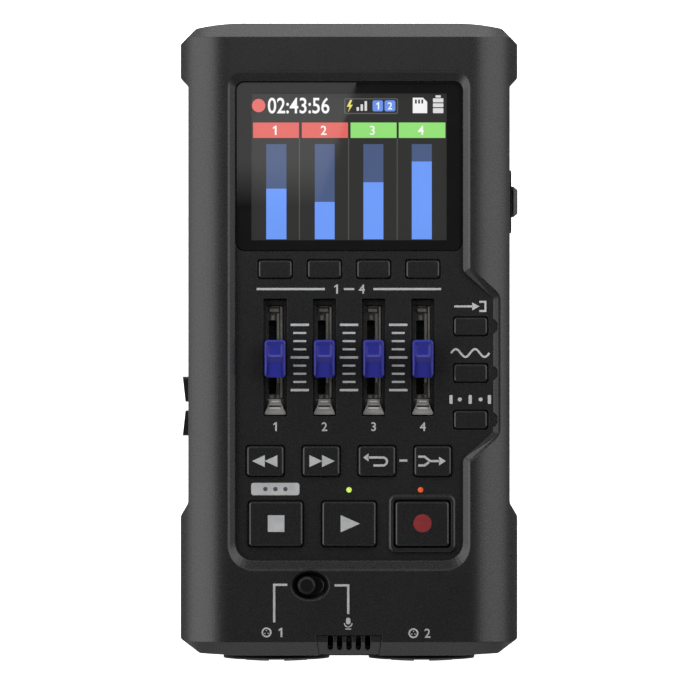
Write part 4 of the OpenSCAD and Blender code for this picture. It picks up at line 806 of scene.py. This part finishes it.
# Two signs stand a little nearer to the lower end than the middle of what they name
POWER_SIGN_DOWN, VOLUME_SIGN_DOWN = 0.2, 0.25
PLUS_TO_MINUS = 8.4
FINE, SIGN_W = 0.3, 0.32
mount_y = {m["name"]: m["pos_m"][1] / MM for m in record["mounts"]}
printed("power_sign", [stroke(arc(0, 0, 1.1, 130, 410, 24), SIGN_W), box(-SIGN_W / 2, 0.1, SIGN_W / 2, 1.5)],
        on_right(middle("power_switch_plate").y - POWER_SIGN_DOWN, POWER_SIGN_Z), INK_DIM)
printed("card_sign", [stroke([(-1, -1.3), (-1, 1.3), (0.4, 1.3), (1, 0.7), (1, -1.3), (-1, -1.3)], FINE)],
        on_right(middle("card_door").y, DATA_SIGN_Z), INK_DIM)
printed("data_sign", [
    stroke([(-2, 0), (1.2, 0)], FINE), [(1.1, -0.7), (2.2, 0), (1.1, 0.7)], disc(-2.0, 0, 0.5)],
        on_right(middle("usb_port").y, DATA_SIGN_Z), INK_DIM)
printed("phones_sign", [stroke(arc(0, 0, 1.3, 0, 180, 16), FINE), box(-1.6, -0.9, -0.85, 0.1, 0.2),
                        box(0.85, -0.9, 1.6, 0.1, 0.2)],
        on_left(mount_y["phones_bore"], SOCKET_SIGN_Z), INK_DIM)
printed("line_sign", [stroke([(-1.6, 0), (0.9, 0)], FINE), [(0.8, -0.7), (1.9, 0), (0.8, 0.7)],
                      stroke([(-0.4, 1.1), (-1.9, 1.1), (-1.9, -1.1), (-0.4, -1.1)], FINE)],
        on_left(mount_y["line_bore"], SOCKET_SIGN_Z), INK_DIM)
printed("volume_sign", [bar(0, 0, SIGN_W, 2), box(-1, -SIGN_W / 2, -0.17, SIGN_W / 2),
                        box(0.17, -SIGN_W / 2, 1, SIGN_W / 2), bar(PLUS_TO_MINUS, 0, 2, SIGN_W)],
        on_left(middle("volume_up_key").y - VOLUME_SIGN_DOWN, VOLUME_SIGN_Z), INK_DIM)


# Floor, light and camera, in metres

def stage_mesh(name, points, material):
    mesh = bpy.data.meshes.new(name)
    mesh.from_pydata(points, [], [tuple(range(len(points)))])
    mesh.materials.append(material)
    obj = bpy.data.objects.new(name, mesh)
    scene.collection.objects.link(obj)
    return obj


# The floor glows a little, so that it stays pale to its edges; it lies just below the rubber feet
FLOOR_Z, FLOOR_HALF = -0.05 * MM, 6
paper, t, p, co = start("floor_paper")
feed(t, p.inputs["Base Color"], tinted(t, noise(t, co, 40, 3.0), grey(0.74), grey(0.76)))
p.inputs["Roughness"].default_value = 0.9
p.inputs["Specular IOR Level"].default_value = 0.1
p.inputs["Emission Color"].default_value = (1, 1, 1, 1)
p.inputs["Emission Strength"].default_value = 0.95
stage_mesh("floor", [(x, y, FLOOR_Z) for x, y in bar(0, 0, 2 * FLOOR_HALF, 2 * FLOOR_HALF)], paper)

# Surroundings, pale at the horizon and dark overhead
HORIZON = ((0.0, 0.45), (0.2, 0.38), (0.45, 0.06), (1.0, 0.02))
world = bpy.data.worlds.new("studio")
scene.world = world
world.use_nodes = True
t = world.node_tree
up = axes(t, add(t, "ShaderNodeTexCoord").outputs["Generated"])["Z"]
feed(t, t.nodes["Background"].inputs["Color"], ramp(t, up, [(place, grey(c)) for place, c in HORIZON]))


def softbox(name, place, aim, size, radiance):
    light = bpy.data.lights.new(name, "AREA")
    light.shape = "RECTANGLE"
    light.size, light.size_y = size
    light.energy = radiance * math.pi * size[0] * size[1]
    obj = bpy.data.objects.new(name, light)
    obj.location = place
    obj.rotation_euler = (Vector(aim) - Vector(place)).to_track_quat("-Z", "Y").to_euler()
    obj.visible_camera = False
    scene.collection.objects.link(obj)
    return obj


softbox("left_light", (-1.07, 0.05, 1.08), (0, 0, 0.03), (1.9, 1.12), 2.7)
softbox("right_light", (0.98, 0.48, 1.17), (0, 0.48, 0.03), (1.4, 1.06), 2.35)
softbox("upper_light", (0, 0.2, 0.24), (0, 0.06, 0.04), (0.4, 0.12), 5.4).visible_glossy = False
softbox("crown_light", (0, 0.13, 0.45), (0, 0.13, 0.04), (0.14, 0.1), 0.7)
softbox("end_light", (0, 1.25, 0.51), (0, 0, 0.04), (2.0, 0.48), 3.4)
softbox("low_light", (0, -1.2, 0.665), (0, 0, 0.04), (2.0, 0.5), 1.0)

# The camera looks straight down on the panel from so far that edges stay parallel, as in the photo
DISTANCE = 4.0
VIEW_W = 0.175
SENSOR_W = 36
EYE = Vector((0.25 * MM, -1.79 * MM, PANEL_Z * MM + DISTANCE))
camera = bpy.data.cameras.new("camera")
camera.sensor_fit = "HORIZONTAL"
camera.sensor_width = SENSOR_W
camera.lens = SENSOR_W * DISTANCE / VIEW_W
camera.clip_start = 0.1
camera.clip_end = 40
eye = bpy.data.objects.new("camera", camera)
eye.location = EYE
scene.collection.objects.link(eye)
scene.camera = eye
scene.view_settings.view_transform = "Standard"

# Card above the camera, seen only in gloss: its slanted reflection in the window fades downwards
CARD_UP = 4.4
CARD_FADE = (0.0738, 0.097)
# Outline of the reflection on the window, in millimetres
GLARE = ((-40, 33.15), (-40, 67.35), (2.6, 67.35), (1.9, 65.25), (-8.2, 33.15))
glare, t, p, co = start("glare_card")
fade = ranged(t, axes(t, co)["Y"], *CARD_FADE, 0, 1)
feed(t, p.inputs["Emission Color"], ramp(t, fade, [(0, grey(0)), (1, grey(1))]))
p.inputs["Emission Strength"].default_value = 1.08
p.inputs["Base Color"].default_value = (0, 0, 0, 1)
p.inputs["Specular IOR Level"].default_value = 0
grow = 1 + CARD_UP / DISTANCE
card = stage_mesh("glare_card", [
    (EYE.x + (x * MM - EYE.x) * grow, EYE.y + (y * MM - EYE.y) * grow, top("display_window") * MM + CARD_UP)
    for x, y in GLARE], glare)
card.visible_camera = False
card.visible_diffuse = False
card.visible_shadow = False
card.visible_transmission = False
